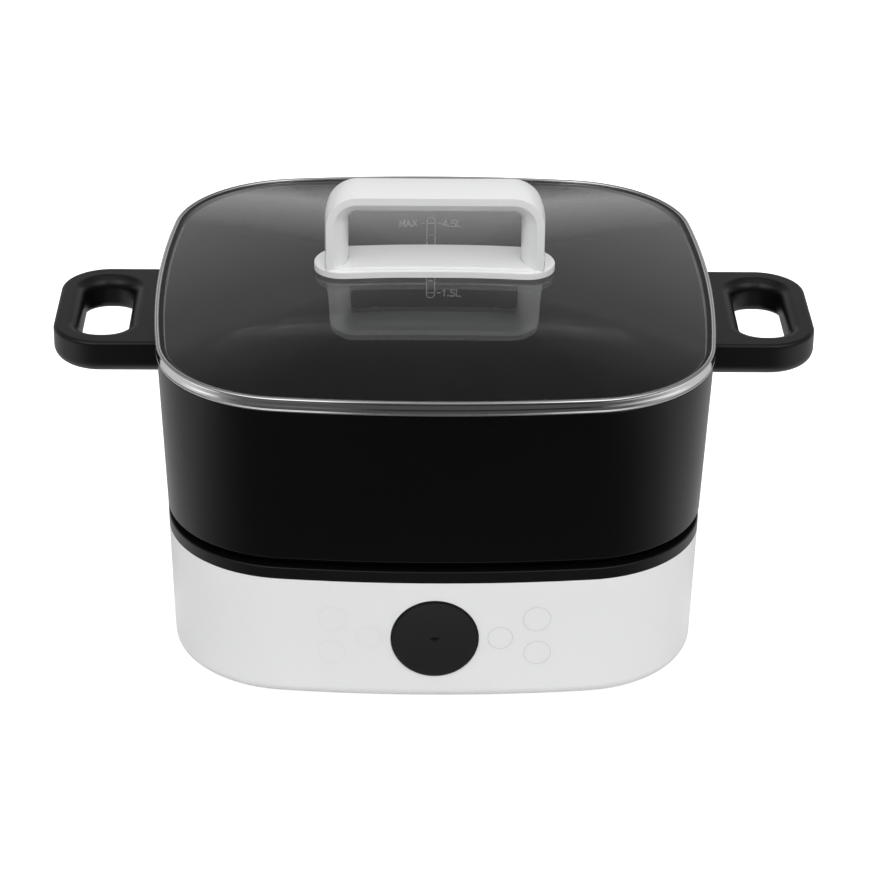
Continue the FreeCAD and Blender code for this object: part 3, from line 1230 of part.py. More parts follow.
def board_corners():
    """Screw places of the power board."""
    reach = "(dims.board_length / 2 - dims.board_inset)"
    depth = "(dims.board_depth / 2 - dims.board_inset)"
    return [(f"{BOARD_X} + {x} * {reach}", f"{BOARD_Y} + {y} * {depth}") for x, y in SIGNS]


def make_feet():
    """Four rubber feet whose stems snap into the bottom cover."""
    master = new_body("foot_master")
    cover = f"({FLOOR_TOP} - {SHELL_BOTTOM})"
    head_low = f"({SHELL_BOTTOM} + {cover})"
    steps = [
        ("dims.foot_radius", "0", SHELL_BOTTOM),
        ("dims.foot_stem_radius", SHELL_BOTTOM, head_low),
        ("dims.foot_head_radius", head_low, f"({head_low} + dims.foot_head_height)"),
    ]
    turned(master, "foot_steps", steps)
    copies("feet", master, [(f"{x} * {FOOT_PLACE}", f"{y} * {FOOT_PLACE}", "0") for x, y in SIGNS])


def make_case_screws():
    """Screws of the bottom cover, the top cover and the reflector dish."""
    sides = [(f"{x} * {SIDE_BOSS_X}", f"{y} * dims.side_boss_y") for x, y in SIGNS]
    low = f"({SHELL_BOTTOM} + dims.shell_wall / 2 - dims.case_head_height)"
    grip = "(dims.shell_wall / 2 + dims.ledge_height)"
    screws = [(*spot, low) for spot in sides]
    make_screw("bottom_cover_screws", "case", "dims.case_screw_bite", grip, screws)
    spots = [(f"{x} * {BOSS_PLACE}", f"{y} * {BOSS_PLACE}") for x, y in SIGNS]
    roof = f"({CORNER_ROOF} - dims.case_head_height)"
    corner = [(*spot, roof) for spot in spots]
    make_screw("top_cover_screws", "case", "dims.case_screw_bite", "dims.corner_boss_roof", corner)
    flange = f"({SHELL_TOP} - dims.dish_sheet - dims.case_head_height)"
    dish = [(*spot, flange) for spot in thirds(DISH_SCREW_PLACE)]
    make_screw("reflector_screws", "case", "dims.dish_screw_bite", "dims.dish_sheet", dish)


# ---------------------------------------------------------------- heater


def make_heating_plate():
    """Cast plate with a grooved ridge below for the element and a hole for the sensor."""
    body = new_body("heating_plate")
    hole = "dims.plate_hole_radius"
    ridge_in = "(dims.tube_ring_radius - dims.ridge_half_width)"
    ridge_out = "(dims.tube_ring_radius + dims.ridge_half_width)"
    groove = "(dims.tube_radius + dims.tube_gap)"
    groove_in = f"(dims.tube_ring_radius - {groove})"
    groove_out = f"(dims.tube_ring_radius + {groove})"
    sketch = new_sketch(body, "plate_section", "XZ_Plane")
    corners = [
        (hole, HEATER_LOW),
        (ridge_in, HEATER_LOW),
        (ridge_in, RIDGE_LOW),
        (groove_in, RIDGE_LOW),
        ("dims.tube_ring_radius", f"{RIDGE_LOW} + {groove}"),
        (groove_out, RIDGE_LOW),
        (ridge_out, RIDGE_LOW),
        (ridge_out, HEATER_LOW),
        ("dims.plate_radius", HEATER_LOW),
        ("dims.plate_radius", POT_BOTTOM),
        (hole, POT_BOTTOM),
    ]
    profile(sketch, corners, {3: (groove, 1), 4: (groove, 1)})
    plate = revolve(body, sketch)
    top = number(POT_BOTTOM)
    plate = fillet(body, plate, lambda e: at_level(e, top), "dims.heater_edge_round")
    holes = new_sketch(body, "plate_post_holes", offset=HEATER_LOW)
    for i, (x, y) in enumerate(thirds(POST_PLACE)):
        circle(holes, x, y, "(dims.post_stud_radius + dims.thread_gap)", f"p{i}")
    pocket(body, holes, "dims.post_stud_length + dims.thread_gap")


def make_heating_tube():
    """Tubular element: an open ring whose two ends turn down through the dish."""
    ring_radius, bend = number("dims.tube_ring_radius"), number("dims.tube_bend")
    level, drop = number(RIDGE_LOW), number("dims.tube_end_drop")
    open_angle = number("dims.tube_open_angle")
    ends = []
    for side in (-1, 1):
        angle = math.radians(-90 + side * open_angle)
        spot = V(ring_radius * math.cos(angle), ring_radius * math.sin(angle), level)
        ahead = V(math.sin(angle), -math.cos(angle), 0) * side
        ends.append(end_of_tube(spot, ahead, bend, drop))
    first, last = math.radians(open_angle - 90), math.radians(270 - open_angle)
    arc = Part.ArcOfCircle(Part.Circle(V(0, 0, level), V(0, 0, 1), ring_radius), first, last)
    path = Part.Wire([*reversed(ends[1]), arc.toShape(), *ends[0]])
    solid_part("heating_tube", swept(path, "dims.tube_radius"))


def end_of_tube(spot, ahead, bend, drop):
    """Arc and line that leave a spot ahead and turn down."""
    down = V(0, 0, -1)
    centre = spot + down * bend
    middle = centre + (ahead - down).normalize() * bend
    low = spot + ahead * bend + down * bend
    arc = Part.Arc(spot, middle, low).toShape()
    return [arc, Part.LineSegment(low, low + down * drop).toShape()]


def swept(path, radius):
    """Round solid along a path."""
    start = path.OrderedEdges[0]
    at = start.FirstParameter if start.Orientation == "Forward" else start.LastParameter
    circle_edge = Part.Circle(start.valueAt(at), start.tangentAt(at), number(radius)).toShape()
    return path.makePipeShell([Part.Wire(circle_edge)], True, False, 0)


def solid_part(name, shape):
    """Sub-part whose shape is worked out from the sheet's sizes."""
    feature = doc.addObject("Part::Feature", name)
    feature.Label = name
    feature.Shape = shape
    feature.Placement = FreeCAD.Placement()
    PARTS.append(feature)


def make_reflector():
    """Sheet dish under the heating plate, screwed to the underside of the deck."""
    body = new_body("heat_reflector")
    dish_sheet = "dims.dish_sheet"
    flange_low = f"({SHELL_TOP} - {dish_sheet})"
    sketch = new_sketch(body, "dish_section", "XZ_Plane")
    corners = [
        ("dims.dish_hole_radius", DISH_LOW),
        (f"({DISH_FLOOR_RADIUS} + {dish_sheet})", DISH_LOW),
        (f"({DISH_RADIUS} + {dish_sheet})", flange_low),
        (DISH_EDGE, flange_low),
        (DISH_EDGE, SHELL_TOP),
        (DISH_RADIUS, SHELL_TOP),
        (DISH_FLOOR_RADIUS, DISH_FLOOR),
        ("dims.dish_hole_radius", DISH_FLOOR),
    ]
    profile(sketch, corners)
    revolve(body, sketch)
    holes = new_sketch(body, "dish_holes", offset=DISH_LOW)
    for i, (x, y) in enumerate(thirds(POST_PLACE)):
        circle(holes, x, y, "(dims.post_stud_radius + dims.hole_gap)", f"p{i}")
    for i, (x, y) in enumerate(thirds(DISH_SCREW_PLACE)):
        circle(holes, x, y, "(dims.case_screw_radius + dims.hole_gap)", f"s{i}")
    for side in (-1, 1):
        circle(holes, *tube_end(side), "(dims.tube_radius + dims.tube_end_gap)", "lr"[side > 0])
    pocket(body, holes, f"{SHELL_TOP} - {DISH_LOW}")


def tube_end(side):
    """Place where an end of the tubular element passes down, as expressions."""
    angle = f"(-90deg + {side} * dims.tube_open_angle * 1deg)"
    ahead = f"{side} * dims.tube_bend"
    x = f"dims.tube_ring_radius * cos({angle}) + {ahead} * sin({angle})"
    y = f"dims.tube_ring_radius * sin({angle}) - {ahead} * cos({angle})"
    return x, y


def make_posts():
    """Three posts that carry the heating plate on the dish, with nuts below."""
    post = new_body("post_master")
    low = "(0 - dims.post_stud_length)"
    height = f"({HEATER_LOW} - {DISH_FLOOR})"
    stud = "dims.post_stud_radius"
    steps = [
        (stud, low, "0"),
        ("dims.post_radius", "0", height),
        (stud, height, f"({height} + dims.post_stud_length)"),
    ]
    turned(post, "post_steps", steps)
    spots = thirds(POST_PLACE)
    copies("plate_posts", post, [(*spot, DISH_FLOOR) for spot in spots])
    nut = new_body("nut_master")
    bore = "(dims.post_stud_radius + dims.thread_gap)"
    turned(nut, "nut_steps", [("dims.nut_radius", "0 - dims.nut_height", "0")], bore)
    copies("plate_nuts", nut, [(*spot, DISH_LOW) for spot in spots])


# ---------------------------------------------------------------- temperature sensor


def make_sensor():
    """Sprung cap that follows the pot's underside, in a holder on the dish."""
    make_sensor_holder()
    cap = new_body("sensor_cap")
    section = new_sketch(cap, "cap_section", "XZ_Plane")
    wall = "(dims.cap_radius - dims.cap_wall)"
    flange = "(dims.cap_radius + dims.cap_flange)"
    flange_top = f"({CAP_LOW} + dims.cap_flange_height)"
    ceiling = f"({CAP_TOP} - dims.cap_wall)"
    corners = [
        ("0", ceiling),
        (wall, ceiling),
        (wall, CAP_LOW),
        (flange, CAP_LOW),
        (flange, flange_top),
        ("dims.cap_radius", flange_top),
        ("dims.cap_radius", CAP_TOP),
        ("0", CAP_TOP),
    ]
    profile(section, corners)
    revolve(cap, section)
    low = f"({HOLDER_FLOOR} + dims.spring_wire + dims.spring_end_gap)"
    high = f"({ceiling} - dims.spring_wire - dims.spring_end_gap)"
    sizes = ("dims.sensor_spring_radius", "dims.spring_wire", "dims.sensor_spring_turns")
    spring = coil("sensor_spring", *sizes, f"{high} - {low}")
    place(spring, "0", "0", low)
    PARTS.append(spring)


def make_sensor_holder():
    """Holder on the dish whose rolled lip keeps the sensor cap in."""
    body = new_body("sensor_holder")
    inner = "(dims.cap_radius + dims.cap_flange + dims.holder_gap)"
    lip = "(dims.cap_radius + dims.holder_gap)"
    sketch = new_sketch(body, "holder_section", "XZ_Plane")
    top = f"({LIP_LOW} + dims.holder_wall)"
    corners = [
        ("dims.holder_hole_radius", DISH_FLOOR),
        ("dims.holder_flange_radius", DISH_FLOOR),
        ("dims.holder_flange_radius", HOLDER_FLOOR),
        (f"({inner} + dims.holder_wall)", HOLDER_FLOOR),
        (f"({inner} + dims.holder_wall)", top),
        (lip, top),
        (lip, LIP_LOW),
        (inner, LIP_LOW),
        (inner, HOLDER_FLOOR),
        ("dims.holder_hole_radius", HOLDER_FLOOR),
    ]
    profile(sketch, corners)
    revolve(body, sketch)


def coil(name, radius, wire, turns, height):
    """Coil spring along Z from its own origin."""
    helix = doc.addObject("Part::Helix", f"{name}_line")
    helix.setExpression("Radius", radius)
    helix.setExpression("Height", height)
    helix.setExpression("Pitch", f"({height}) / ({turns})")
    helix.SegmentLength = HALF_TURN
    section = doc.addObject("Part::Circle", f"{name}_wire")
    section.Placement = FreeCAD.Placement(V(0, 0, 0), Rotation(V(1, 0, 0), 90))
    section.setExpression("Radius", wire)
    section.setExpression("Placement.Base.x", radius)
    doc.recompute()
    sweep = doc.addObject("Part::Sweep", name)
    sweep.Label = name
    sweep.Sections = [section]
    sweep.Spine = (helix, [f"Edge{i + 1}" for i in range(len(helix.Shape.Edges))])
    sweep.Solid = True
    sweep.Frenet = True
    doc.recompute()
    return sweep


def make_fuse():
    """Thermal fuse in a holder against the underside of the dish."""
    holder = new_body("fuse_holder")
    size = ("dims.fuse_clip_length", "dims.fuse_clip_depth", "dims.fuse_clip_height")
    low = f"({DISH_LOW} - dims.fuse_clip_height)"
    block(holder, "fuse_block", "0", "dims.fuse_place", low, *size)
    bore = new_sketch(holder, "fuse_bore", "YZ_Plane")
    level = f"({DISH_LOW} - dims.fuse_clip_height / 2)"
    circle(bore, "dims.fuse_place", level, "(dims.fuse_radius + dims.thread_gap)")
    through(holder, bore, "2 * dims.fuse_clip_length")
    fuse = new_body("thermal_fuse")
    round_section = new_sketch(fuse, "fuse_round", "YZ_Plane", "0 - dims.fuse_length / 2")
    circle(round_section, "dims.fuse_place", level, "dims.fuse_radius")
    pad(fuse, round_section, "dims.fuse_length")


# ---------------------------------------------------------------- power board


def make_power_board():
    """Circuit board on the bottom cover's standoffs, with its screws."""
    body = new_body("power_board")
    size = ("dims.board_length", "dims.board_depth", "dims.board_sheet")
    block(body, "board", BOARD_X, BOARD_Y, BOARD_LOW, *size)
    holes = new_sketch(body, "board_holes", offset=BOARD_LOW)
    for i, spot in enumerate(board_corners()):
        circle(holes, *spot, "(dims.board_screw_radius + dims.hole_gap)", f"h{i}")
    pocket(body, holes, "dims.board_sheet")
    places = [(*spot, BOARD_TOP) for spot in board_corners()]
    bite = "(dims.board_screw_bite - dims.hole_gap)"
    make_screw("power_board_screws", "board", bite, "dims.board_sheet", places, upward=False)


def make_board_parts():
    """Relay, transformer, capacitor, heat sink and terminal block on the power board."""
    relay = new_body("power_relay")
    size = ("dims.relay_length", "dims.relay_depth", "dims.relay_height")
    block(relay, "relay_case", BOARD_RIGHT, BOARD_FRONT, BOARD_TOP, *size)
    make_transformer(BOARD_LEFT, BOARD_FRONT)
    can = new_body("capacitor")
    turned(can, "can_steps", [("dims.can_radius", "0", "dims.can_height")])
    place(can, f"{BOARD_X} - dims.can_left", BOARD_BACK, BOARD_TOP)
    make_heat_sink(BOARD_RIGHT, BOARD_BACK)
    make_terminal_block()


def way_x(share):
    """Sideways place of a wire entry of the terminal block."""
    return f"({BOARD_LEFT} + {share} * dims.block_length / 3)"


def make_terminal_block():
    """Terminal block with three wire entries at its back."""
    body = new_body("terminal_block")
    size = ("dims.block_length", "dims.block_depth", "dims.block_height")
    block(body, "terminal_case", BOARD_LEFT, BOARD_BACK, BOARD_TOP, *size)
    face = f"0 - {BOARD_BACK} - dims.block_depth / 2"
    ways = new_sketch(body, "terminal_ways", "XZ_Plane", face)
    for share in (-1, 0, 1):
        circle(ways, way_x(share), BLOCK_LEVEL, "dims.block_way_radius", f"w{share + 1}")
    pocket(body, ways, "dims.block_depth / 2")


def make_transformer(x, y):
    """Laminated core with a winding that stands out in front and behind."""
    body = new_body("transformer")
    size = ("dims.coil_length", "dims.coil_depth", "dims.coil_height")
    block(body, "core", x, y, BOARD_TOP, *size)
    winding = new_sketch(body, "winding", offset=f"{BOARD_TOP} + dims.winding_round")
    half = "(dims.coil_length / 2 - dims.winding_round)"
    depth = "(dims.coil_depth / 2 + dims.winding_proud)"
    corners = (f"{x} - {half}", f"{y} - {depth}", f"{x} + {half}", f"{y} + {depth}")
    rounded_rectangle(winding, *corners, "dims.winding_round")
    pad(body, winding, "dims.coil_height - 2 * dims.winding_round")


def make_heat_sink(x, y):
    """Finned heat sink on the power board."""
    body = new_body("heat_sink")
    near, far = f"({y} - dims.sink_depth / 2)", f"({y} + dims.sink_depth / 2)"
    size = ("dims.sink_length", "dims.sink_fin", "dims.sink_height")
    block(body, "sink_back", x, far, BOARD_TOP, *size)
    fin = new_sketch(body, "fin", offset=BOARD_TOP)
    start = f"({x} - dims.sink_length / 2)"
    rectangle(fin, start, near, f"{start} + dims.sink_fin", far)
    first = pad(body, fin, "dims.sink_height")
    row = body.newObject("PartDesign::LinearPattern", "fins")
    row.Originals = [first]
    row.Direction = (fin, ["H_Axis"])
    row.setExpression("Occurrences", "dims.sink_fins")
    row.setExpression("Length", "dims.sink_length - dims.sink_fin")
    body.Tip = row
    doc.recompute()


# ---------------------------------------------------------------- front controls


def make_control_knob():
    """Round control disc with a hollow face, a flange behind the wall and a hub."""
    body = new_body("control_knob")
    radius, face = "dims.knob_radius", "(0 - dims.knob_proud)"
    hollow = f"({radius} - dims.knob_lip)"
    flange = f"({radius} + dims.knob_flange)"
    back = "(dims.knob_body + dims.flange_height)"
    bore = "(dims.shaft_radius + dims.shaft_gap)"
    sphere = f"({hollow}^2 + dims.knob_dish^2) / (2 * dims.knob_dish)"
    sketch = new_sketch(body, "knob_section", "XY_Plane")
    corners = [
        ("0", f"{face} + dims.knob_dish"),
        (hollow, face),
        (radius, face),
        (radius, "dims.knob_body"),
        (flange, "dims.knob_body"),
        (flange, back),
        ("dims.hub_radius", back),
        ("dims.hub_radius", "dims.hub_end"),
        (bore, "dims.hub_end"),
        (bore, "dims.shaft_start"),
        ("0", "dims.shaft_start"),
    ]
    profile(sketch, corners, {0: (sphere, 1)})
    revolve(body, sketch)
    on_front(body)


def make_encoder():
    """Encoder case with a hollow neck, its shaft and the plunger of its push switch."""
    case = new_body("encoder_body")
    square = new_sketch(case, "encoder_case", "XZ_Plane", "0 - dims.encoder_start")
    half = "dims.encoder_half"
    rectangle(square, f"0 - {half}", f"0 - {half}", half, half)
    pad(case, square, "dims.control_board_depth - dims.encoder_start", reverse=True)
    neck = new_sketch(case, "encoder_neck", "XZ_Plane", "0 - dims.neck_start")
    circle(neck, "0", "0", "dims.neck_radius")
    pad(case, neck, "dims.encoder_start - dims.neck_start", reverse=True)
    bore = new_sketch(case, "encoder_bore", "XZ_Plane", "0 - dims.neck_start")
    circle(bore, "0", "0", "(dims.shaft_radius + dims.shaft_gap)")
    end = "(dims.shaft_end + dims.plunger_length + dims.press_travel + dims.hole_gap)"
    pocket(case, bore, f"{end} - dims.neck_start", reverse=False)
    on_front(case)
    shaft = new_body("encoder_shaft")
    steps = [("dims.shaft_radius", "dims.shaft_start", "dims.shaft_end")]
    turned(shaft, "shaft_steps", steps, upright=False)
    on_front(shaft)
    plunger = new_body("encoder_plunger")
    steps = [("dims.plunger_radius", "dims.shaft_end", "(dims.shaft_end + dims.plunger_length)")]
    turned(plunger, "plunger_steps", steps, upright=False)
    on_front(plunger)


def make_control_board():
    """Circuit board behind the front wall, its screws and the six touch springs."""
    body = new_body("control_board")
    sketch = new_sketch(body, "control_sheet", "XZ_Plane", "0 - dims.control_board_depth")
    half, rise = "dims.control_board_half", "dims.control_board_rise"
    rectangle(sketch, f"0 - {half}", f"0 - {rise}", half, rise)
    for i, (x, z) in enumerate(SIGNS):
        spot = (f"{x} * dims.control_screw_x", f"{z} * dims.control_screw_z")
        circle(sketch, *spot, "(dims.board_screw_radius + dims.hole_gap)", f"h{i}")
    pad(body, sketch, "dims.board_sheet", reverse=True)
    on_front(body)
    make_control_screws()
    make_touch_springs()


def make_control_screws():
    """Four screws that hold the control board on the shell's bosses."""
    master = new_body("control_screw_master")
    head = "(dims.control_board_depth + dims.board_sheet)"
    steps = [
        ("dims.board_screw_radius", f"({head} - dims.board_sheet - dims.board_screw_bite)", head),
        ("dims.board_head_radius", head, f"({head} + dims.board_head_height)"),
    ]
    turned(master, "control_screw_steps", steps, upright=False)
    spots = [(f"{x} * dims.control_screw_x", "0", f"{z} * dims.control_screw_z") for x, z in SIGNS]
    on_front(copies("control_board_screws", master, spots))


def make_touch_springs():
    """Contact springs between the control board and the touch areas on the front wall."""
    inner = [("dims.inner_key_x", "0")]
    outer = [
        ("dims.outer_key_x", "dims.upper_key_rise"),
        ("dims.outer_key_x", "0 - dims.lower_key_drop"),
    ]
    links = touch_springs("inner_touch_spring", inner) + touch_springs("outer_touch_spring", outer)
    on_front(compound("touch_springs", links))


def touch_springs(name, keys):
    """Equal springs behind the touch areas of both sides, as long as the bowed wall leaves."""
    start = f"({bow(keys[0][0])} + dims.shell_wall + dims.key_wire + dims.hole_gap)"
    end = "(dims.control_board_depth - dims.key_wire - dims.spring_end_gap)"
    sizes = ("dims.key_spring_radius", "dims.key_wire", "dims.key_spring_turns")
    spring = coil(f"{name}_master", *sizes, f"{end} - {start}")
    links = []
    for side in (-1, 1):
        for x, z in keys:
            link = doc.addObject("App::Link", f"{name}_{len(links)}")
            link.LinkedObject = spring
            link.Placement = FreeCAD.Placement(V(0, 0, 0), Rotation(V(1, 0, 0), -90))
            place(link, f"{side} * {x}", start, z)
            links.append(link)
    return links


# ---------------------------------------------------------------- mains inlet


def make_inlet():
    """Inlet socket with a flange outside the shell, and its three pins."""
    body = new_body("inlet_socket")
    half, rise = "dims.inlet_half", "dims.inlet_rise"
    seat = f"({INLET_FACE} - dims.inlet_flange_sheet)"
    flange = new_sketch(body, "inlet_plate", "XZ_Plane", f"0 - {seat}")
    flange_size = (f"({half} + dims.inlet_flange)", f"({rise} + dims.inlet_flange)")
    upright_box(flange, *flange_size, "dims.inlet_corner")
    pad(body, flange, "dims.inlet_flange_sheet", reverse=True)
    case = new_sketch(body, "inlet_case", "XZ_Plane", f"0 - {seat}")
    upright_box(case, half, rise)
    pad(body, case, "dims.inlet_depth - dims.inlet_flange_sheet")
    hollow = new_sketch(body, "inlet_hollow", "XZ_Plane", f"0 - {INLET_FACE}")
    hollow_half, hollow_rise = f"({half} - dims.inlet_wall)", f"({rise} - dims.inlet_wall)"
    upright_box(hollow, hollow_half, hollow_rise, "dims.inlet_corner")
    pocket(body, hollow, "dims.inlet_hollow", reverse=True)
    slots = new_sketch(body, "pin_slots", "XZ_Plane", f"0 - ({INLET_FACE} - dims.inlet_depth)")
    for i, (x, z) in enumerate(PIN_PLACES):
        pin_box(slots, x, z, "dims.pin_gap", f"s{i}")
    pocket(body, slots, "dims.inlet_depth", reverse=False)
    pins = new_body("inlet_pins")
    sketch = new_sketch(pins, "pin_section", "XZ_Plane", f"0 - {PIN_END}")
    for i, (x, z) in enumerate(PIN_PLACES):
        pin_box(sketch, x, z, "0", f"p{i}")
    length = "(dims.pin_tail + dims.inlet_depth - dims.inlet_hollow + dims.pin_length)"
    pad(pins, sketch, length, reverse=True)


def pin_box(sketch, x, z, gap, name):
    """Section of one pin."""
    half, rise = f"(dims.pin_width / 2 + {gap})", f"(dims.pin_height / 2 + {gap})"
    rectangle(sketch, f"{x} - {half}", f"{z} - {rise}", f"{x} + {half}", f"{z} + {rise}", name)


# ---------------------------------------------------------------- leads


def lead(points):
    """Round lead through bound points, with a bend at every point between its ends."""
    spots = [V(*[number(text) for text in point]) for point in points]
    bend = number("dims.lead_bend")
    edges, start = [], spots[0]
    for before, spot, after in zip(spots, spots[1:], spots[2:]):
        back, ahead = (before - spot).normalize(), (after - spot).normalize()
        half = back.getAngle(ahead) / 2
        reach = bend / math.tan(half)
        centre = spot + (back + ahead).normalize() * (bend / math.sin(half))
        nearest = centre + (spot - centre).normalize() * bend
        first, last = spot + back * reach, spot + ahead * reach
        edges.append(Part.LineSegment(start, first).toShape())
        edges.append(Part.Arc(first, nearest, last).toShape())
        start = last
    edges.append(Part.LineSegment(start, spots[-1]).toShape())
    return swept(Part.Wire(edges), "dims.lead_radius")


def make_leads():
    """Leads from the inlet, the heating element, the sensor and the control board."""
    solid_part("mains_leads", Part.makeCompound(mains_leads()))
    solid_part("heater_leads", Part.makeCompound(heater_leads()))
    board = f"({BOARD_TOP} + dims.lead_end_gap)"
    level = "dims.sensor_lead_level"
    x, y = f"({BOARD_X} - dims.sensor_lead_left)", f"({BOARD_Y} - dims.sensor_lead_front)"
    start = f"({DISH_FLOOR} - dims.lead_end_gap)"
    points = [("0", "0", start), ("0", "0", level), (x, y, level), (x, y, board)]
    solid_part("sensor_lead", lead(points))
    level = "dims.control_lead_level"
    x, y = f"({BOARD_X} - dims.control_lead_left)", f"({BOARD_Y} - dims.control_lead_front)"
    start = f"(dims.control_board_depth + dims.board_sheet + 2 * dims.lead_end_gap - {FRONT_FACE})"
    points = [(x, start, level), (x, y, level), (x, y, board)]
    solid_part("control_lead", lead(points))


def mains_leads():
    """Three leads from the inlet's pins to the terminal block."""
    start = f"({PIN_END} - dims.lead_end_gap)"
    end = f"({BOARD_BACK} + dims.block_depth / 2 - dims.lead_entry)"
    turn = f"({start} - dims.lead_bend - dims.lead_end_gap)"
    turns = [turn, f"({turn} - dims.lead_step)", turn]
    leads = []
    for share, (x, z), y in zip((-1, 0, 1), PIN_PLACES, turns):
        way = way_x(share)
        points = [(x, start, z), (x, y, z), (way, y, BLOCK_LEVEL), (way, end, BLOCK_LEVEL)]
        leads.append(lead(points))
    return leads


def heater_leads():
    """Two leads from the ends of the heating element to the power board."""
    start = f"({TUBE_END} - dims.lead_end_gap)"
    board = f"({BOARD_TOP} + dims.lead_end_gap)"
    right = f"({BOARD_LEFT} - dims.coil_length / 2 - dims.heater_lead_gap)"
    y = f"({BOARD_Y} - dims.heater_lead_front)"
    leads = []
    for step, side in enumerate((-1, 1)):
        level = f"(dims.heater_lead_level + {step} * dims.lead_step)"
        x = f"({right} - {1 - step} * dims.heater_lead_pitch)"
        foot = tube_end(side)
        leads.append(lead([(*foot, start), (*foot, level), (x, y, level), (x, y, board)]))
    return leads


# ---------------------------------------------------------------- whole appliance


def make_all():
    """Every sub-part, from the lid down to the leads."""
    make_lid_rim()
    make_lid_seal()
    make_lid_glass()
    make_lid_handle_pad()
    make_lid_handle_plate()
    make_lid_handle_bridge()
    make_lid_screws()
    make_pot_body()
    make_side_handle("pot_handle_right", False)
    make_side_handle("pot_handle_left", True)
    make_handle_screws()
    make_base_shell()
    make_top_cover()
    make_bottom_cover()
    make_feet()
    make_case_screws()
    make_heating_plate()
    make_heating_tube()
    make_reflector()
    make_posts()
    make_sensor()
    make_fuse()
    make_power_board()
    make_board_parts()
    make_control_knob()
    make_encoder()
    make_control_board()
    make_inlet()
    make_leads()
    doc.recompute()


def check_all():
    """Stops the build where a feature or a sub-part is broken."""
    for item in doc.Objects:
        if {"Invalid", "Error"} & set(item.State):
            raise RuntimeError(f"{item.Label}: {item.State}")
    for part in PARTS:
        if part.Shape.isNull() or not part.Shape.isValid() or not part.Shape.Solids:
            raise RuntimeError(f"{part.Label}: no valid shape")


def export_all():
    """Writes one STEP file per sub-part."""
    os.makedirs("parts", exist_ok=True)
    for part in PARTS:
        part.Shape.exportStep(f"parts/{part.Label}.step")
        print(part.Label, len(part.Shape.Solids), round(part.Shape.Volume))


make_all()
check_all()
export_all()
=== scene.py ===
"""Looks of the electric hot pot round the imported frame: materials, prints, band, light, camera."""

import json
import math

import bpy
from mathutils import Matrix, Vector


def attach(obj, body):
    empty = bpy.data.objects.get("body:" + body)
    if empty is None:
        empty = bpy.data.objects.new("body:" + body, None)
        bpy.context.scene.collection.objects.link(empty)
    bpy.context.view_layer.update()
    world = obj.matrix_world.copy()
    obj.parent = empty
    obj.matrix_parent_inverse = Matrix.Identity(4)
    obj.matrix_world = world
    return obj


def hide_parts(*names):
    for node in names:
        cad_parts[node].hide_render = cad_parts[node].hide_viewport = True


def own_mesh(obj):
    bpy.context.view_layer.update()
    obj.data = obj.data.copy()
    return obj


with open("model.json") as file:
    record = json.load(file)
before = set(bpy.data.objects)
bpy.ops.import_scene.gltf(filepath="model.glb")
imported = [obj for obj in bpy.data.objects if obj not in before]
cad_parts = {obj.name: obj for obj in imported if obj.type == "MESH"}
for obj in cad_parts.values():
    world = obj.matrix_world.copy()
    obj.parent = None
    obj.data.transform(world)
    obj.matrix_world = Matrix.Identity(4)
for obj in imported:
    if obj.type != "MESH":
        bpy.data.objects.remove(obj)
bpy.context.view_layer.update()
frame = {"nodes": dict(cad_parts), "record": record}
NODES = frame["nodes"]
SLOT = {item["node"]: item["material_slot"] for item in frame["record"]["subparts"]}

# outline of the lid, in metres: half width, radius of the bowed sides, radius of the corners
HALF = 0.143
SIDE_ARC = 0.687
CORNER_ARC = 0.069

# edges that turn by more than this many degrees stay sharp
SHARP_ANGLE = 32.0

# ---------------------------------------------------------------- shader helpers

EVEN = (1.0, 1.0, 1.0)
# part of the noise's range in which nearly all its values lie
NOISE_LOW, NOISE_HIGH = 0.3, 0.7


def new_material(name):
    """Node material with a principled shader."""
    material = bpy.data.materials.new(name)
    material.use_nodes = True
    shader = material.node_tree.nodes["Principled BSDF"]
    return material, material.node_tree, shader


def bare_material(name):
    """Node material with nothing but its output."""
    material = bpy.data.materials.new(name)
    material.use_nodes = True
    tree = material.node_tree
    tree.nodes.clear()
    return material, tree, tree.nodes.new("ShaderNodeOutputMaterial")


def set_values(shader, **values):
    """Constant values on a shader's own sockets."""
    for key, value in values.items():
        shader.inputs[key.replace("_", " ")].default_value = value


def node(tree, kind, **values):
    """New node with values on its sockets or attributes."""
    made = tree.nodes.new(kind)
    for key, value in values.items():
        label = key.replace("_", " ")
        if label in made.inputs:
            made.inputs[label].default_value = value
        else:
            setattr(made, key, value)
    return made


def object_coordinates(tree, stretch=EVEN):
    """The object's own coordinates, scaled."""
    source = tree.nodes.new("ShaderNodeTexCoord")
    mapping = node(tree, "ShaderNodeMapping", Scale=stretch)
    tree.links.new(source.outputs["Object"], mapping.inputs["Vector"])
    return mapping.outputs["Vector"]


def texture(tree, kind, stretch=EVEN, **values):
    """Texture node over the object's coordinates."""
    made = node(tree, kind, **values)
    tree.links.new(object_coordinates(tree, stretch), made.inputs["Vector"])
    return made


def noise(tree, scale, detail=3.0, stretch=EVEN):
    """Noise over the object's coordinates."""
    return texture(tree, "ShaderNodeTexNoise", stretch, Scale=scale, Detail=detail).outputs["Fac"]


def ramp(tree, source, stops):
    """Colour ramp; stops are (position, grey or colour)."""
    made = tree.nodes.new("ShaderNodeValToRGB")
    elements = made.color_ramp.elements
    while len(elements) < len(stops):
        elements.new(0.5)
    for element, (position, value) in zip(elements, stops):
        element.position = position
        colour = (value, value, value) if isinstance(value, (int, float)) else value
        element.color = (*colour, 1.0)
    tree.links.new(source, made.inputs["Fac"])
    return made.outputs["Color"]


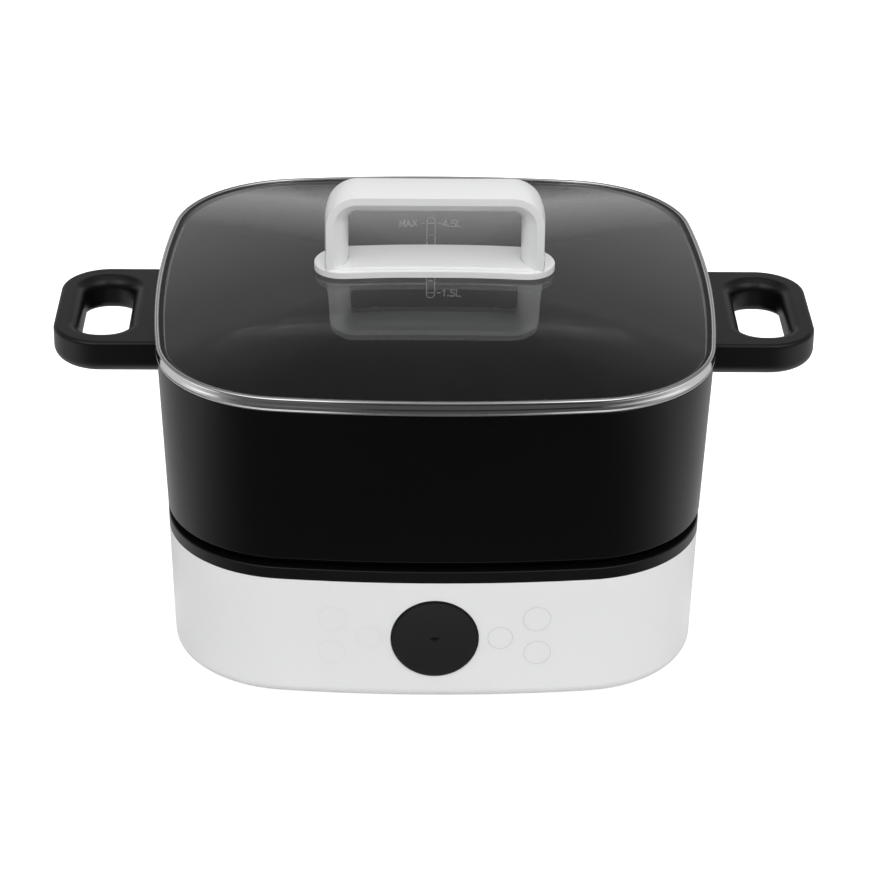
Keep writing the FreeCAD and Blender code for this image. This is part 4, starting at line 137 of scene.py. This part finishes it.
def math_node(tree, operation, first, second=0.0):
    """Math node; an operand is a socket or a number."""
    made = tree.nodes.new("ShaderNodeMath")
    made.operation = operation
    for socket, value in zip(made.inputs, (first, second)):
        if isinstance(value, (int, float)):
            socket.default_value = value
        else:
            tree.links.new(value, socket)
    return made.outputs["Value"]


def blend_colours(tree, share, first, second):
    """Mix of two colours by a clamped share."""
    made = node(tree, "ShaderNodeMix", data_type="RGBA")
    tree.links.new(share, made.inputs["Factor"])
    colours = [socket for socket in made.inputs if socket.type == "RGBA"]
    tree.links.new(first, colours[0])
    tree.links.new(second, colours[1])
    return next(socket for socket in made.outputs if socket.type == "RGBA")


def squares(tree, x, y):
    """Sum of the squares of two values."""
    return math_node(
        tree, "ADD", math_node(tree, "MULTIPLY", x, x), math_node(tree, "MULTIPLY", y, y)
    )


def azimuth(tree, x, y):
    """How far a direction points back: -1 in front, 0 at the sides, 1 behind."""
    # keeps the division from being by zero
    above_zero = 1e-6
    reach = math_node(tree, "SQRT", math_node(tree, "ADD", squares(tree, x, y), above_zero))
    return math_node(tree, "DIVIDE", y, reach)


def half_up(tree, value):
    """A value between -1 and 1 brought to 0 to 1."""
    return math_node(tree, "ADD", math_node(tree, "MULTIPLY", value, 0.5), 0.5)


def tint(tree, shader, source, stops):
    """Base colour from a ramp over a source."""
    tree.links.new(ramp(tree, source, stops), shader.inputs["Base Color"])


def bump(tree, shader, source, depth, strength=1.0):
    """Bump of a real depth in metres."""
    made = node(tree, "ShaderNodeBump", Strength=strength, Distance=depth)
    tree.links.new(source, made.inputs["Height"])
    tree.links.new(made.outputs["Normal"], shader.inputs["Normal"])


def vary_gloss(tree, shader, source, low, high):
    """Drives a shader's roughness by a texture between two values."""
    limits = {"From_Min": NOISE_LOW, "From_Max": NOISE_HIGH, "To_Min": low, "To_Max": high}
    made = node(tree, "ShaderNodeMapRange", **limits)
    tree.links.new(source, made.inputs["Value"])
    tree.links.new(made.outputs["Result"], shader.inputs["Roughness"])


def two_tones(colour, darker, low=NOISE_LOW, high=NOISE_HIGH):
    """Stops that go from a darker share of a colour to the colour."""
    return [(low, [channel * darker for channel in colour]), (high, colour)]


# ---------------------------------------------------------------- materials


def plastic(name, colour, low, high, grain=900.0, depth=4e-6, level=0.5):
    """Moulded plastic: faint grain, slight changes of gloss and tone."""
    material, tree, shader = new_material(name)
    set_values(shader, IOR=1.5, Specular_IOR_Level=level)
    tint(tree, shader, noise(tree, 9.0, 1.0), two_tones(colour, 0.985, 0.25, 0.75))
    vary_gloss(tree, shader, noise(tree, 25.0, 1.0), low, high)
    bump(tree, shader, noise(tree, grain, 2.0), depth)
    return material


def metal(name, colour, low, high, stretch=EVEN, scale=400.0, depth=2e-6):
    """Metal with a fine, stretched grain."""
    material, tree, shader = new_material(name)
    set_values(shader, Metallic=1.0, IOR=1.5)
    grain = noise(tree, scale, 3.0, stretch)
    tint(tree, shader, grain, two_tones(colour, 0.94))
    vary_gloss(tree, shader, grain, low, high)
    bump(tree, shader, grain, depth)
    return material


def coated_metal(name):
    """Black non-stick coating: satin, with a fine orange peel and tiny speckles."""
    material, tree, shader = new_material(name)
    set_values(shader, IOR=1.36, Specular_IOR_Level=0.5)
    speck = texture(tree, "ShaderNodeTexVoronoi", Scale=900.0).outputs["Distance"]
    tint(tree, shader, speck, [(0.0, 0.004), (0.12, 0.0019), (1.0, 0.0015)])
    vary_gloss(tree, shader, noise(tree, 25.0, 1.0), 0.24, 0.27)
    bump(tree, shader, noise(tree, 650.0, 3.0), 2e-6)
    return material


def clear_glass(name):
    """Tempered glass, very slightly grey."""
    material, tree, shader = new_material(name)
    set_values(shader, IOR=1.5, Transmission_Weight=1.0, Roughness=0.0)
    stops = [(NOISE_LOW, (0.93, 0.945, 0.94)), (NOISE_HIGH, (0.95, 0.96, 0.955))]
    tint(tree, shader, noise(tree, 3.0), stops)
    return material


def machined_plate(name):
    """Cast aluminium turned on a lathe: concentric lines about the Z axis."""
    material, tree, shader = new_material(name)
    set_values(shader, Metallic=1.0, IOR=1.5)
    shape = {"wave_type": "RINGS", "rings_direction": "Z"}
    waves = texture(tree, "ShaderNodeTexWave", Scale=420.0, Distortion=0.6, Detail=2.0, **shape)
    stops = [(NOISE_LOW, (0.5, 0.5, 0.51)), (NOISE_HIGH, (0.62, 0.62, 0.63))]
    tint(tree, shader, noise(tree, 30.0), stops)
    vary_gloss(tree, shader, waves.outputs["Fac"], 0.3, 0.46)
    bump(tree, shader, waves.outputs["Fac"], 1.5e-5, 0.5)
    return material


def circuit_board(name):
    """Green board with copper tracks under the lacquer."""
    material, tree, shader = new_material(name)
    set_values(shader, IOR=1.5, Roughness=0.35)
    greens = {"Color1": (0.02, 0.16, 0.06, 1), "Color2": (0.03, 0.2, 0.08, 1)}
    track = {"Mortar": (0.09, 0.34, 0.14, 1), "Mortar_Size": 0.05}
    tracks = texture(tree, "ShaderNodeTexBrick", Scale=160.0, **greens, **track)
    tree.links.new(tracks.outputs["Color"], shader.inputs["Base Color"])
    bump(tree, shader, tracks.outputs["Fac"], 3e-5, 0.4)
    return material


def rubber(name, colour, low=0.55, high=0.75):
    """Rubber or silicone with a soft grain."""
    material, tree, shader = new_material(name)
    set_values(shader, IOR=1.42)
    tint(tree, shader, noise(tree, 90.0), two_tones(colour, 0.9))
    vary_gloss(tree, shader, noise(tree, 200.0), low, high)
    bump(tree, shader, noise(tree, 1200.0, 2.0), 8e-6)
    return material


def ink(name, colour, rough):
    """Printed ink with a faint unevenness."""
    material, tree, shader = new_material(name)
    set_values(shader, IOR=1.5)
    tint(tree, shader, noise(tree, 700.0), two_tones(colour, 0.93, 0.35, 0.65))
    vary_gloss(tree, shader, noise(tree, 300.0), rough, rough + 0.08)
    return material


def floor_finish(name):
    """Pale, evenly lit floor."""
    material, tree, shader = new_material(name)
    set_values(shader, Roughness=0.9, Specular_IOR_Level=0.1)
    tint(tree, shader, noise(tree, 1.5), [(NOISE_LOW, 0.7), (NOISE_HIGH, 0.72)])
    return material


STRETCH_Y, STRETCH_Z, LONG_STRETCH_Z = (1, 12, 1), (1, 1, 6), (1, 1, 8)
BUILDERS = {
    "glass": clear_glass,
    "polished_steel": lambda n: metal(n, (0.8, 0.8, 0.81), 0.06, 0.1, STRETCH_Z, 160.0, 5e-7),
    "screw_steel": lambda n: metal(n, (0.6, 0.6, 0.61), 0.25, 0.4),
    "sheet_steel": lambda n: metal(n, (0.62, 0.62, 0.63), 0.22, 0.36, STRETCH_Y, 120.0),
    "black_coating": coated_metal,
    "black_plastic": lambda n: plastic(
        n, (0.0034, 0.0034, 0.0037), 0.3, 0.36, depth=3e-6, level=0.4
    ),
    "white_plastic": lambda n: plastic(n, (0.84, 0.842, 0.845), 0.28, 0.31, depth=2e-6),
    "control_black": lambda n: plastic(n, (0.004, 0.004, 0.0044), 0.22, 0.27, 1200.0, 1e-6),
    "inner_plastic": lambda n: plastic(n, (0.5, 0.5, 0.49), 0.4, 0.5),
    "clear_rubber": lambda n: rubber(n, (0.7, 0.71, 0.7), 0.3, 0.4),
    "black_rubber": lambda n: rubber(n, (0.025, 0.025, 0.025)),
    "smoky_rubber": lambda n: rubber(n, (0.05, 0.05, 0.052), 0.3, 0.4),
    "cast_aluminium": machined_plate,
    "circuit_board": circuit_board,
    "relay_case": lambda n: plastic(n, (0.05, 0.12, 0.34), 0.35, 0.45),
    "copper_parts": lambda n: metal(n, (0.72, 0.42, 0.24), 0.25, 0.4, LONG_STRETCH_Z, 300.0),
    "fuse_ceramic": lambda n: plastic(n, (0.8, 0.78, 0.72), 0.5, 0.6),
    "lead_insulation": lambda n: rubber(n, (0.45, 0.05, 0.045), 0.4, 0.5),
    "scale_ink": lambda n: ink(n, (0.7, 0.7, 0.69), 0.4),
    "key_ink": lambda n: ink(n, (0.7, 0.705, 0.71), 0.34),
    "faint_ink": lambda n: ink(n, (0.815, 0.817, 0.82), 0.3),
    "floor": floor_finish,
}
MATERIALS = {name: build(name) for name, build in BUILDERS.items()}
# nodes that look different from their slot
FINISH = {"lid_seal": "smoky_rubber"}


def shade(thing):
    """Smooth shading with sharp edges."""
    mesh = thing.data
    mesh.polygons.foreach_set("use_smooth", [True] * len(mesh.polygons))
    mesh.set_sharp_from_angle(angle=math.radians(SHARP_ANGLE))


for name, thing in NODES.items():
    thing.data.materials.clear()
    thing.data.materials.append(MATERIALS[FINISH.get(name, SLOT[name])])
    shade(thing)

# the sensor's spring, which shortens as the cap goes down, gets a mesh of its own
spring = NODES["sensor_spring"]
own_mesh(spring)

# ---------------------------------------------------------------- outline and meshes


def outline(inset, steps=18):
    """Points of the square outline with bowed sides, counter-clockwise from the right."""
    half, side, corner = HALF - inset, SIDE_ARC - inset, CORNER_ARC - inset
    reach = side - corner
    bow = math.acos((side - half) / reach / math.sqrt(2)) - math.pi / 4
    corner_centre = reach * math.sin(bow)
    points = []
    for quarter in range(4):
        spin = Matrix.Rotation(quarter * math.pi / 2, 2)
        for i in range(steps):
            angle = -bow + 2 * bow * i / steps
            spot = Vector((half - side + side * math.cos(angle), side * math.sin(angle)))
            points.append(spin @ spot)
        for i in range(steps):
            angle = bow + (math.pi / 2 - 2 * bow) * i / steps
            spot = Vector((corner * math.cos(angle), corner * math.sin(angle)))
            points.append(spin @ (Vector((corner_centre, corner_centre)) + spot))
    return points


def new_mesh(name, vertices, faces):
    """Mesh from its points and faces."""
    mesh = bpy.data.meshes.new(name)
    mesh.from_pydata(vertices, [], faces)
    mesh.update()
    return mesh


def new_object(name, data):
    """Object in the scene."""
    thing = bpy.data.objects.new(name, data)
    bpy.context.scene.collection.objects.link(thing)
    return thing


def add_piece(name, mesh, finish, body, smooth=False):
    """Piece with a finish that rides on a body."""
    thing = new_object(name, mesh)
    mesh.materials.append(MATERIALS[finish])
    if smooth:
        shade(thing)
    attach(thing, body)
    return thing


def swept_band(name, section, slot, body):
    """Closed band: a (inset, level) section swept along the outline."""
    rings = [[(p.x, p.y, z) for p in outline(inset)] for inset, z in section]
    count = len(rings[0])
    vertices = [v for ring in rings for v in ring]
    faces = []
    for i in range(len(rings)):
        j = (i + 1) % len(rings)
        for k in range(count):
            m = (k + 1) % count
            faces.append((i * count + k, i * count + m, j * count + m, j * count + k))
    return add_piece(name, new_mesh(name, vertices, faces), slot, body, smooth=True)


# ---------------------------------------------------------------- printed marks

# how far a print stands in front of its wall
PROUD = 0.00012
# levels and insets of the base shell's front face
FRONT_TOP, FRONT_LOW = 0.069, 0.0015
FRONT_TOP_INSET, FRONT_LOW_INSET = 0.0043, 0.006
# levels and insets of the pot's inner wall
INNER_TOP, INNER_LOW = 0.163, 0.078
INNER_TOP_INSET, INNER_LOW_INSET = 0.0038, 0.0076


def front_face(x, z):
    """Point on the shell's leaning, bowed front face, slightly in front of it."""
    share = (z - FRONT_LOW) / (FRONT_TOP - FRONT_LOW)
    radius = SIDE_ARC - (FRONT_LOW_INSET + (FRONT_TOP_INSET - FRONT_LOW_INSET) * share)
    return (x, SIDE_ARC - HALF - math.sqrt((radius + PROUD) ** 2 - x * x), z)


def back_wall(x, z):
    """Point on the pot's inner back wall, slightly in front of it."""
    share = (z - INNER_LOW) / (INNER_TOP - INNER_LOW)
    radius = SIDE_ARC - (INNER_LOW_INSET + (INNER_TOP_INSET - INNER_LOW_INSET) * share)
    return (x, HALF - SIDE_ARC + math.sqrt((radius - PROUD) ** 2 - x * x), z)


def ribbon(points, width, closed, wall):
    """Flat printed line of a width along points of a wall's plane."""
    count = len(points)
    sides = []
    for i, (x, z) in enumerate(points):
        before = points[i - 1] if closed or i > 0 else points[i]
        after = points[(i + 1) % count] if closed or i < count - 1 else points[i]
        along = Vector((after[0] - before[0], after[1] - before[1])).normalized()
        out = Vector((-along.y, along.x)) * width / 2
        sides.append(((x + out.x, z + out.y), (x - out.x, z - out.y)))
    vertices = [wall(*spot) for pair in sides for spot in pair]
    faces = []
    for i in range(count if closed else count - 1):
        j = (i + 1) % count
        faces.append((2 * i, 2 * i + 1, 2 * j + 1, 2 * j))
    return vertices, faces


def printed(name, lines, finish, body, wall):
    """One printed piece made of (points, width, closed) lines."""
    vertices, faces = [], []
    for points, width, closed in lines:
        more, quads = ribbon(points, width, closed, wall)
        faces += [tuple(i + len(vertices) for i in quad) for quad in quads]
        vertices += more
    return add_piece(name, new_mesh(name, vertices, faces), finish, body)


# fill scale on the pot's inner back wall: a slot with ticks, every second one short
SCALE_LOW, SCALE_HIGH = 0.0971, 0.1446
SCALE_HALF = 0.0023
TICK_LOW, TICK_HIGH, TICKS = 0.1001, 0.1411, 7
SHORT_TICK = 0.55
SCALE_LINE = 0.0005


def slot_points(low, high, half, steps=12):
    """Upright slot with round ends."""
    points = []
    for centre, start in ((high - half, 0.0), (low + half, math.pi)):
        for i in range(steps + 1):
            angle = start + math.pi * i / steps
            points.append((half * math.cos(angle), centre + half * math.sin(angle)))
    return points


def scale_lines():
    """Slot outline and its ticks."""
    lines = [(slot_points(SCALE_LOW, SCALE_HIGH, SCALE_HALF), SCALE_LINE, True)]
    for i in range(TICKS):
        z = TICK_LOW + (TICK_HIGH - TICK_LOW) * i / (TICKS - 1)
        reach = SCALE_HALF if i % 2 == 0 else SCALE_HALF * SHORT_TICK
        lines.append(([(-reach, z), (0.0, z), (reach, z)], SCALE_LINE, False))
    return lines


# strokes of the few characters, in a box one wide and one high; None lifts the pen
STROKES = {
    "M": [(0, 0), (0, 1), (0.5, 0.3), (1, 1), (1, 0)],
    "A": [(0, 0), (0.5, 1), (1, 0), None, (0.2, 0.34), (0.8, 0.34)],
    "X": [(0, 0), (1, 1), None, (0, 1), (1, 0)],
    "4": [(0.72, 0), (0.72, 1), (0, 0.3), (1, 0.3)],
    "5": [
        (0.95, 1), (0.1, 1), (0.1, 0.56), (0.8, 0.56),
        (0.95, 0.42), (0.95, 0.14), (0.8, 0), (0.05, 0),
    ],
    "1": [(0.1, 0.76), (0.5, 1), (0.5, 0)],
    "L": [(0, 1), (0, 0), (0.9, 0)],
    "-": [(0, 0.5), (0.6, 0.5)],
    ".": [(0, 0), (0, 0.1)],
}
NARROW = {".": 0.16, "-": 0.6}
LETTER_WIDE, LETTER_HIGH, LETTER_GAP, STROKE = 0.0026, 0.0036, 0.00085, 0.0006
# how far a stroke runs past its ends, as a share of its width
STROKE_END = 0.4
# where the words start: the word for full and its dash, then the right dash and its number
FULL_WORD, FULL_DASH, RIGHT_DASH, NUMBER = -0.0174, -0.0056, 0.004, 0.0065


def strokes(text, x, z):
    """Short straight lines that write a text from x, centred on level z."""
    lines = []
    for letter in text:
        spots = STROKES[letter]
        for a, b in zip(spots, spots[1:]):
            if a and b:
                start = Vector((x + a[0] * LETTER_WIDE, z + (a[1] - 0.5) * LETTER_HIGH))
                end = Vector((x + b[0] * LETTER_WIDE, z + (b[1] - 0.5) * LETTER_HIGH))
                reach = (end - start).normalized() * STROKE * STROKE_END
                lines.append(([tuple(start - reach), tuple(end + reach)], STROKE, False))
        x += NARROW.get(letter, 1.0) * LETTER_WIDE + LETTER_GAP
    return lines


def words(*texts):
    """Lines of several (text, x, z)."""
    return [line for text in texts for line in strokes(*text)]


for label, marks in (
    ("fill_scale", scale_lines()),
    ("scale_full", words(("MAX", FULL_WORD, TICK_HIGH), ("-", FULL_DASH, TICK_HIGH))),
    ("scale_high", words(("-", RIGHT_DASH, TICK_HIGH), ("4.5L", NUMBER, TICK_HIGH))),
    ("scale_low", words(("-", RIGHT_DASH, TICK_LOW), ("1.5L", NUMBER, TICK_LOW))),
):
    printed(label, marks, "scale_ink", "pot", back_wall)

# touch keys: fine rings (x, z, radius) on the front face, fainter on the left
KEYS = ((0.0326, 0.0372, 0.00618), (0.0507, 0.0476, 0.00685), (0.0512, 0.0281, 0.00665))
RING_LINE = 0.00034


def ring_points(x, z, radius, steps=48):
    """Circle on the front face."""
    turns = [2 * math.pi * i / steps for i in range(steps)]
    return [(x + radius * math.cos(t), z + radius * math.sin(t)) for t in turns]


for side, finish, label in ((1, "key_ink", "right"), (-1, "faint_ink", "left")):
    rings = [(ring_points(side * x, z, radius), RING_LINE, True) for x, z, radius in KEYS]
    printed(f"key_rings_{label}", rings, finish, "base", front_face)

# ---------------------------------------------------------------- steel band of the lid

BAND_LOW, BAND_TOP = 0.163, 0.170
SHEET = 0.0008
# inner edge of the lip: an arc that falls towards the glass
LIP_INSET, LIP_WIDE, LIP_DROP = 0.0012, 0.0011, 0.0009
LIP_UNDER_INSET, LIP_UNDER_DROP = 0.0022, 0.0014
# rounding of the upper edge, slightly hollow side (inset, level), rolled lower edge
UPPER_EDGE = 0.0011
SIDE = [(0.00012, 0.1678), (0.00018, 0.1664), (0.00016, 0.1652), (0.0001, 0.1645)]
ROLL, ROLL_LEVEL = 0.00045, 0.16345
# foot that reaches in under the glass and turns down
FOOT_OUTER, FOOT_INNER, FOOT_LOW = 0.0047, 0.0055, 0.1605


def arc(sweep, steps=6):
    """Cosine and sine along an arc from 0 to a sweep."""
    angles = [sweep * i / steps for i in range(steps + 1)]
    return [(math.cos(angle), math.sin(angle)) for angle in angles]


def band_section():
    """Closed (inset, level) section of the band, from the lip's inner edge outwards."""
    lip = [
        (LIP_INSET + LIP_WIDE * cos, BAND_TOP - LIP_DROP + LIP_DROP * sin)
        for cos, sin in arc(math.pi / 2)
    ]
    edge = [
        (UPPER_EDGE * (1 - sin), BAND_TOP - UPPER_EDGE * (1 - cos)) for cos, sin in arc(math.pi / 2)
    ]
    roll = [(ROLL - ROLL * sin, ROLL_LEVEL + ROLL * cos) for cos, sin in arc(math.pi)]
    foot = [
        (FOOT_OUTER, BAND_LOW),
        (FOOT_OUTER, FOOT_LOW),
        (FOOT_INNER, FOOT_LOW),
        (FOOT_INNER, BAND_LOW + SHEET),
    ]
    inside = [
        (SHEET, BAND_LOW + SHEET),
        (SHEET, BAND_TOP - LIP_UNDER_DROP),
        (LIP_UNDER_INSET, BAND_TOP - LIP_UNDER_DROP),
    ]
    return lip + edge + SIDE + roll + foot + inside


band = swept_band("lid_band", band_section(), "polished_steel", "lid")
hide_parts("lid_rim")

# ---------------------------------------------------------------- floor and light card

FLOOR_HALF, CARD_HALF = 6.0, 5.0
FLOOR_LEVEL, CARD_LEVEL, GLOW_LEVEL = -0.0003, -0.0002, -0.0001


def plane(name, half, level, material):
    """Flat square of the stage at a level."""
    turns = ((-1, -1), (1, -1), (1, 1), (-1, 1))
    corners = [(half * x, half * y, level) for x, y in turns]
    thing = new_object(name, new_mesh(name, corners, [(0, 1, 2, 3)]))
    thing.data.materials.append(material)
    return thing


floor = plane("floor", FLOOR_HALF, FLOOR_LEVEL, MATERIALS["floor"])
floor.visible_glossy = False


def glow_material():
    """Lifts the floor to white where the camera sees it."""
    material, tree, output = bare_material("floor_glow")
    both = tree.nodes.new("ShaderNodeAddShader")
    clear = tree.nodes.new("ShaderNodeBsdfTransparent")
    light = node(tree, "ShaderNodeEmission", Strength=0.8)
    tree.links.new(clear.outputs["BSDF"], both.inputs[0])
    tree.links.new(light.outputs["Emission"], both.inputs[1])
    tree.links.new(both.outputs["Shader"], output.inputs["Surface"])
    return material


glow = plane("floor_glow", FLOOR_HALF, GLOW_LEVEL, glow_material())
glow.visible_diffuse = glow.visible_glossy = False
glow.visible_transmission = glow.visible_shadow = False

# brightness of the card: by azimuth over its whole, from left to right in a strip in front,
# and by distance close to the appliance
CARD_STOPS = [(0.0, 0.081), (0.12, 0.116), (0.37, 0.65), (0.6, 0.63), (1.0, 0.416)]
STRIP_STOPS = [
    (0.0, 1.25), (0.04, 1.2), (0.07, 0.8), (0.095, 0.25), (0.14, 0.12),
    (0.26, 0.14), (0.37, 0.17), (0.4, 0.11), (0.445, 0.02), (0.665, 0.02),
    (0.69, 0.06), (0.775, 0.32), (0.862, 0.6), (0.935, 0.95), (1.0, 1.2),
]
CLOSE_STOPS = [(0.0, 0.44), (0.17, 0.42), (0.195, 0.3), (0.215, 0.12), (0.24, 0.03), (0.28, 0.0)]
# distances where the strip starts and ends, and the width over which it fades
STRIP_START, STRIP_END, STRIP_FADE = 0.45, 0.54, 0.02
# how fast the strip and the close zone fade in towards the front
FRONT_FADE = 3.0


def reflector_material():
    """Light card for reflections only: dim in front, white at the sides."""
    material, tree, output = bare_material("reflector_card")
    light = tree.nodes.new("ShaderNodeEmission")
    split = tree.nodes.new("ShaderNodeSeparateXYZ")
    tree.links.new(object_coordinates(tree), split.inputs["Vector"])
    x, y = split.outputs["X"], split.outputs["Y"]
    back, right = azimuth(tree, x, y), azimuth(tree, y, x)
    whole = ramp(tree, half_up(tree, back), CARD_STOPS)
    strip = ramp(tree, half_up(tree, right), STRIP_STOPS)
    reach = math_node(tree, "SQRT", squares(tree, x, y))
    past = math_node(tree, "DIVIDE", math_node(tree, "SUBTRACT", reach, STRIP_START), STRIP_FADE)
    until = math_node(tree, "DIVIDE", math_node(tree, "SUBTRACT", STRIP_END, reach), STRIP_FADE)
    facing = math_node(tree, "MULTIPLY", back, -FRONT_FADE)
    share = math_node(tree, "MINIMUM", math_node(tree, "MINIMUM", past, until), facing)
    near = ramp(tree, reach, CLOSE_STOPS)
    close = math_node(tree, "MULTIPLY", near, math_node(tree, "MINIMUM", facing, 1.0))
    extra = math_node(tree, "MAXIMUM", close, 0.0)
    tone = math_node(tree, "ADD", blend_colours(tree, share, whole, strip), extra)
    tree.links.new(tone, light.inputs["Color"])
    tree.links.new(light.outputs["Emission"], output.inputs["Surface"])
    return material


card = plane("reflector_card", CARD_HALF, CARD_LEVEL, reflector_material())
card.visible_camera = card.visible_diffuse = False
card.visible_transmission = card.visible_shadow = False

# ---------------------------------------------------------------- surround and lamps

# brightness of the surround against height (sine of the elevation): front, sides, back
FRONT_STOPS = [
    (0.0, 0.0), (0.2, 0.0), (0.4, 0.2), (0.55, 1.7), (0.75, 1.9), (0.9, 1.5), (1.0, 0.4),
]
SIDE_STOPS = [
    (0.0, 0.0), (0.1, 0.19), (0.2, 0.29), (0.4, 0.0), (0.6, 0.62), (0.8, 0.28), (1.0, 0.0),
]
BACK_STOPS = [
    (0.0, 0.0), (0.1, 0.13), (0.2, 0.76), (0.4, 0.27), (0.6, 0.115), (0.8, 0.067), (1.0, 0.9),
]
# share of the front zone from left to right: dark between two windows
WINDOW_STOPS = [(0.0, 1.0), (0.39, 1.0), (0.425, 0.15), (0.61, 0.15), (0.65, 1.0), (1.0, 1.0)]
DARK_STOPS = [(0.0, 0.0), (1.0, 0.0)]


def make_world():
    """Soft surround: two bright windows high in front, dimmer sides, a low glow behind."""
    world = bpy.data.worlds.new("surround")
    bpy.context.scene.world = world
    world.use_nodes = True
    tree = world.node_tree
    source = tree.nodes.new("ShaderNodeTexCoord")
    split = tree.nodes.new("ShaderNodeSeparateXYZ")
    tree.links.new(source.outputs["Generated"], split.inputs["Vector"])
    x, y, z = (split.outputs[axis] for axis in "XYZ")
    back = azimuth(tree, x, y)
    zones = (FRONT_STOPS, SIDE_STOPS, BACK_STOPS)
    front, side, rear = (ramp(tree, z, stops) for stops in zones)
    window = ramp(tree, half_up(tree, azimuth(tree, y, x)), WINDOW_STOPS)
    dark = ramp(tree, z, DARK_STOPS)
    lit = blend_colours(tree, window, dark, front)
    half = blend_colours(tree, back, side, rear)
    whole = blend_colours(tree, math_node(tree, "MULTIPLY", back, -1.0), half, lit)
    tree.links.new(whole, tree.nodes["Background"].inputs["Color"])


make_world()

# area lights: place, width, depth, power in watts
LAMPS = {
    "top_light": ((0.0, 0.2, 2.0), 2.2, 2.2, 11.0),
    "high_light": ((0.0, -1.5, 1.9), 2.0, 1.2, 13.0),
    "front_light": ((0.0, -2.2, 1.0), 2.4, 1.2, 8.4),
    "left_light": ((-2.0, -0.6, 1.0), 1.2, 1.4, 5.4),
    "right_light": ((2.0, -0.6, 1.0), 1.2, 1.4, 8.2),
}
LAMP_AIM = Vector((0.0, 0.0, 0.1))


def softbox(name, spot, width, depth, power):
    """Area light that looks at the appliance and isn't mirrored in it."""
    light = bpy.data.lights.new(name, "AREA")
    light.shape = "RECTANGLE"
    light.size, light.size_y = width, depth
    light.energy = power
    lamp = new_object(name, light)
    lamp.location = spot
    lamp.rotation_mode = "QUATERNION"
    lamp.rotation_quaternion = (LAMP_AIM - Vector(spot)).to_track_quat("-Z", "Y")
    lamp.visible_glossy = False


for name, lamp in LAMPS.items():
    softbox(name, *lamp)

# ---------------------------------------------------------------- camera

# viewpoint, directions and lens (mm) fitted to the photograph
EYE = Vector((-0.022941, -1.463962, 0.824981))
AHEAD = Vector((0.014728, 0.891252, -0.453269))
RIGHT = Vector((0.999883, -0.011246, 0.010377))
LENS, SENSOR = 128.29, 36.0
CLIP_START, CLIP_END = 0.05, 50.0


def make_camera():
    """Camera at the photograph's viewpoint."""
    data = bpy.data.cameras.new("camera")
    data.sensor_width = SENSOR
    data.lens = LENS
    data.clip_start, data.clip_end = CLIP_START, CLIP_END
    camera = new_object("camera", data)
    turn = Matrix((RIGHT, RIGHT.cross(AHEAD), -AHEAD)).transposed()
    camera.matrix_world = Matrix.Translation(EYE) @ turn.to_4x4()
    bpy.context.scene.camera = camera


make_camera()

view = bpy.context.scene.view_settings
view.view_transform = "Standard"
view.look = "None"
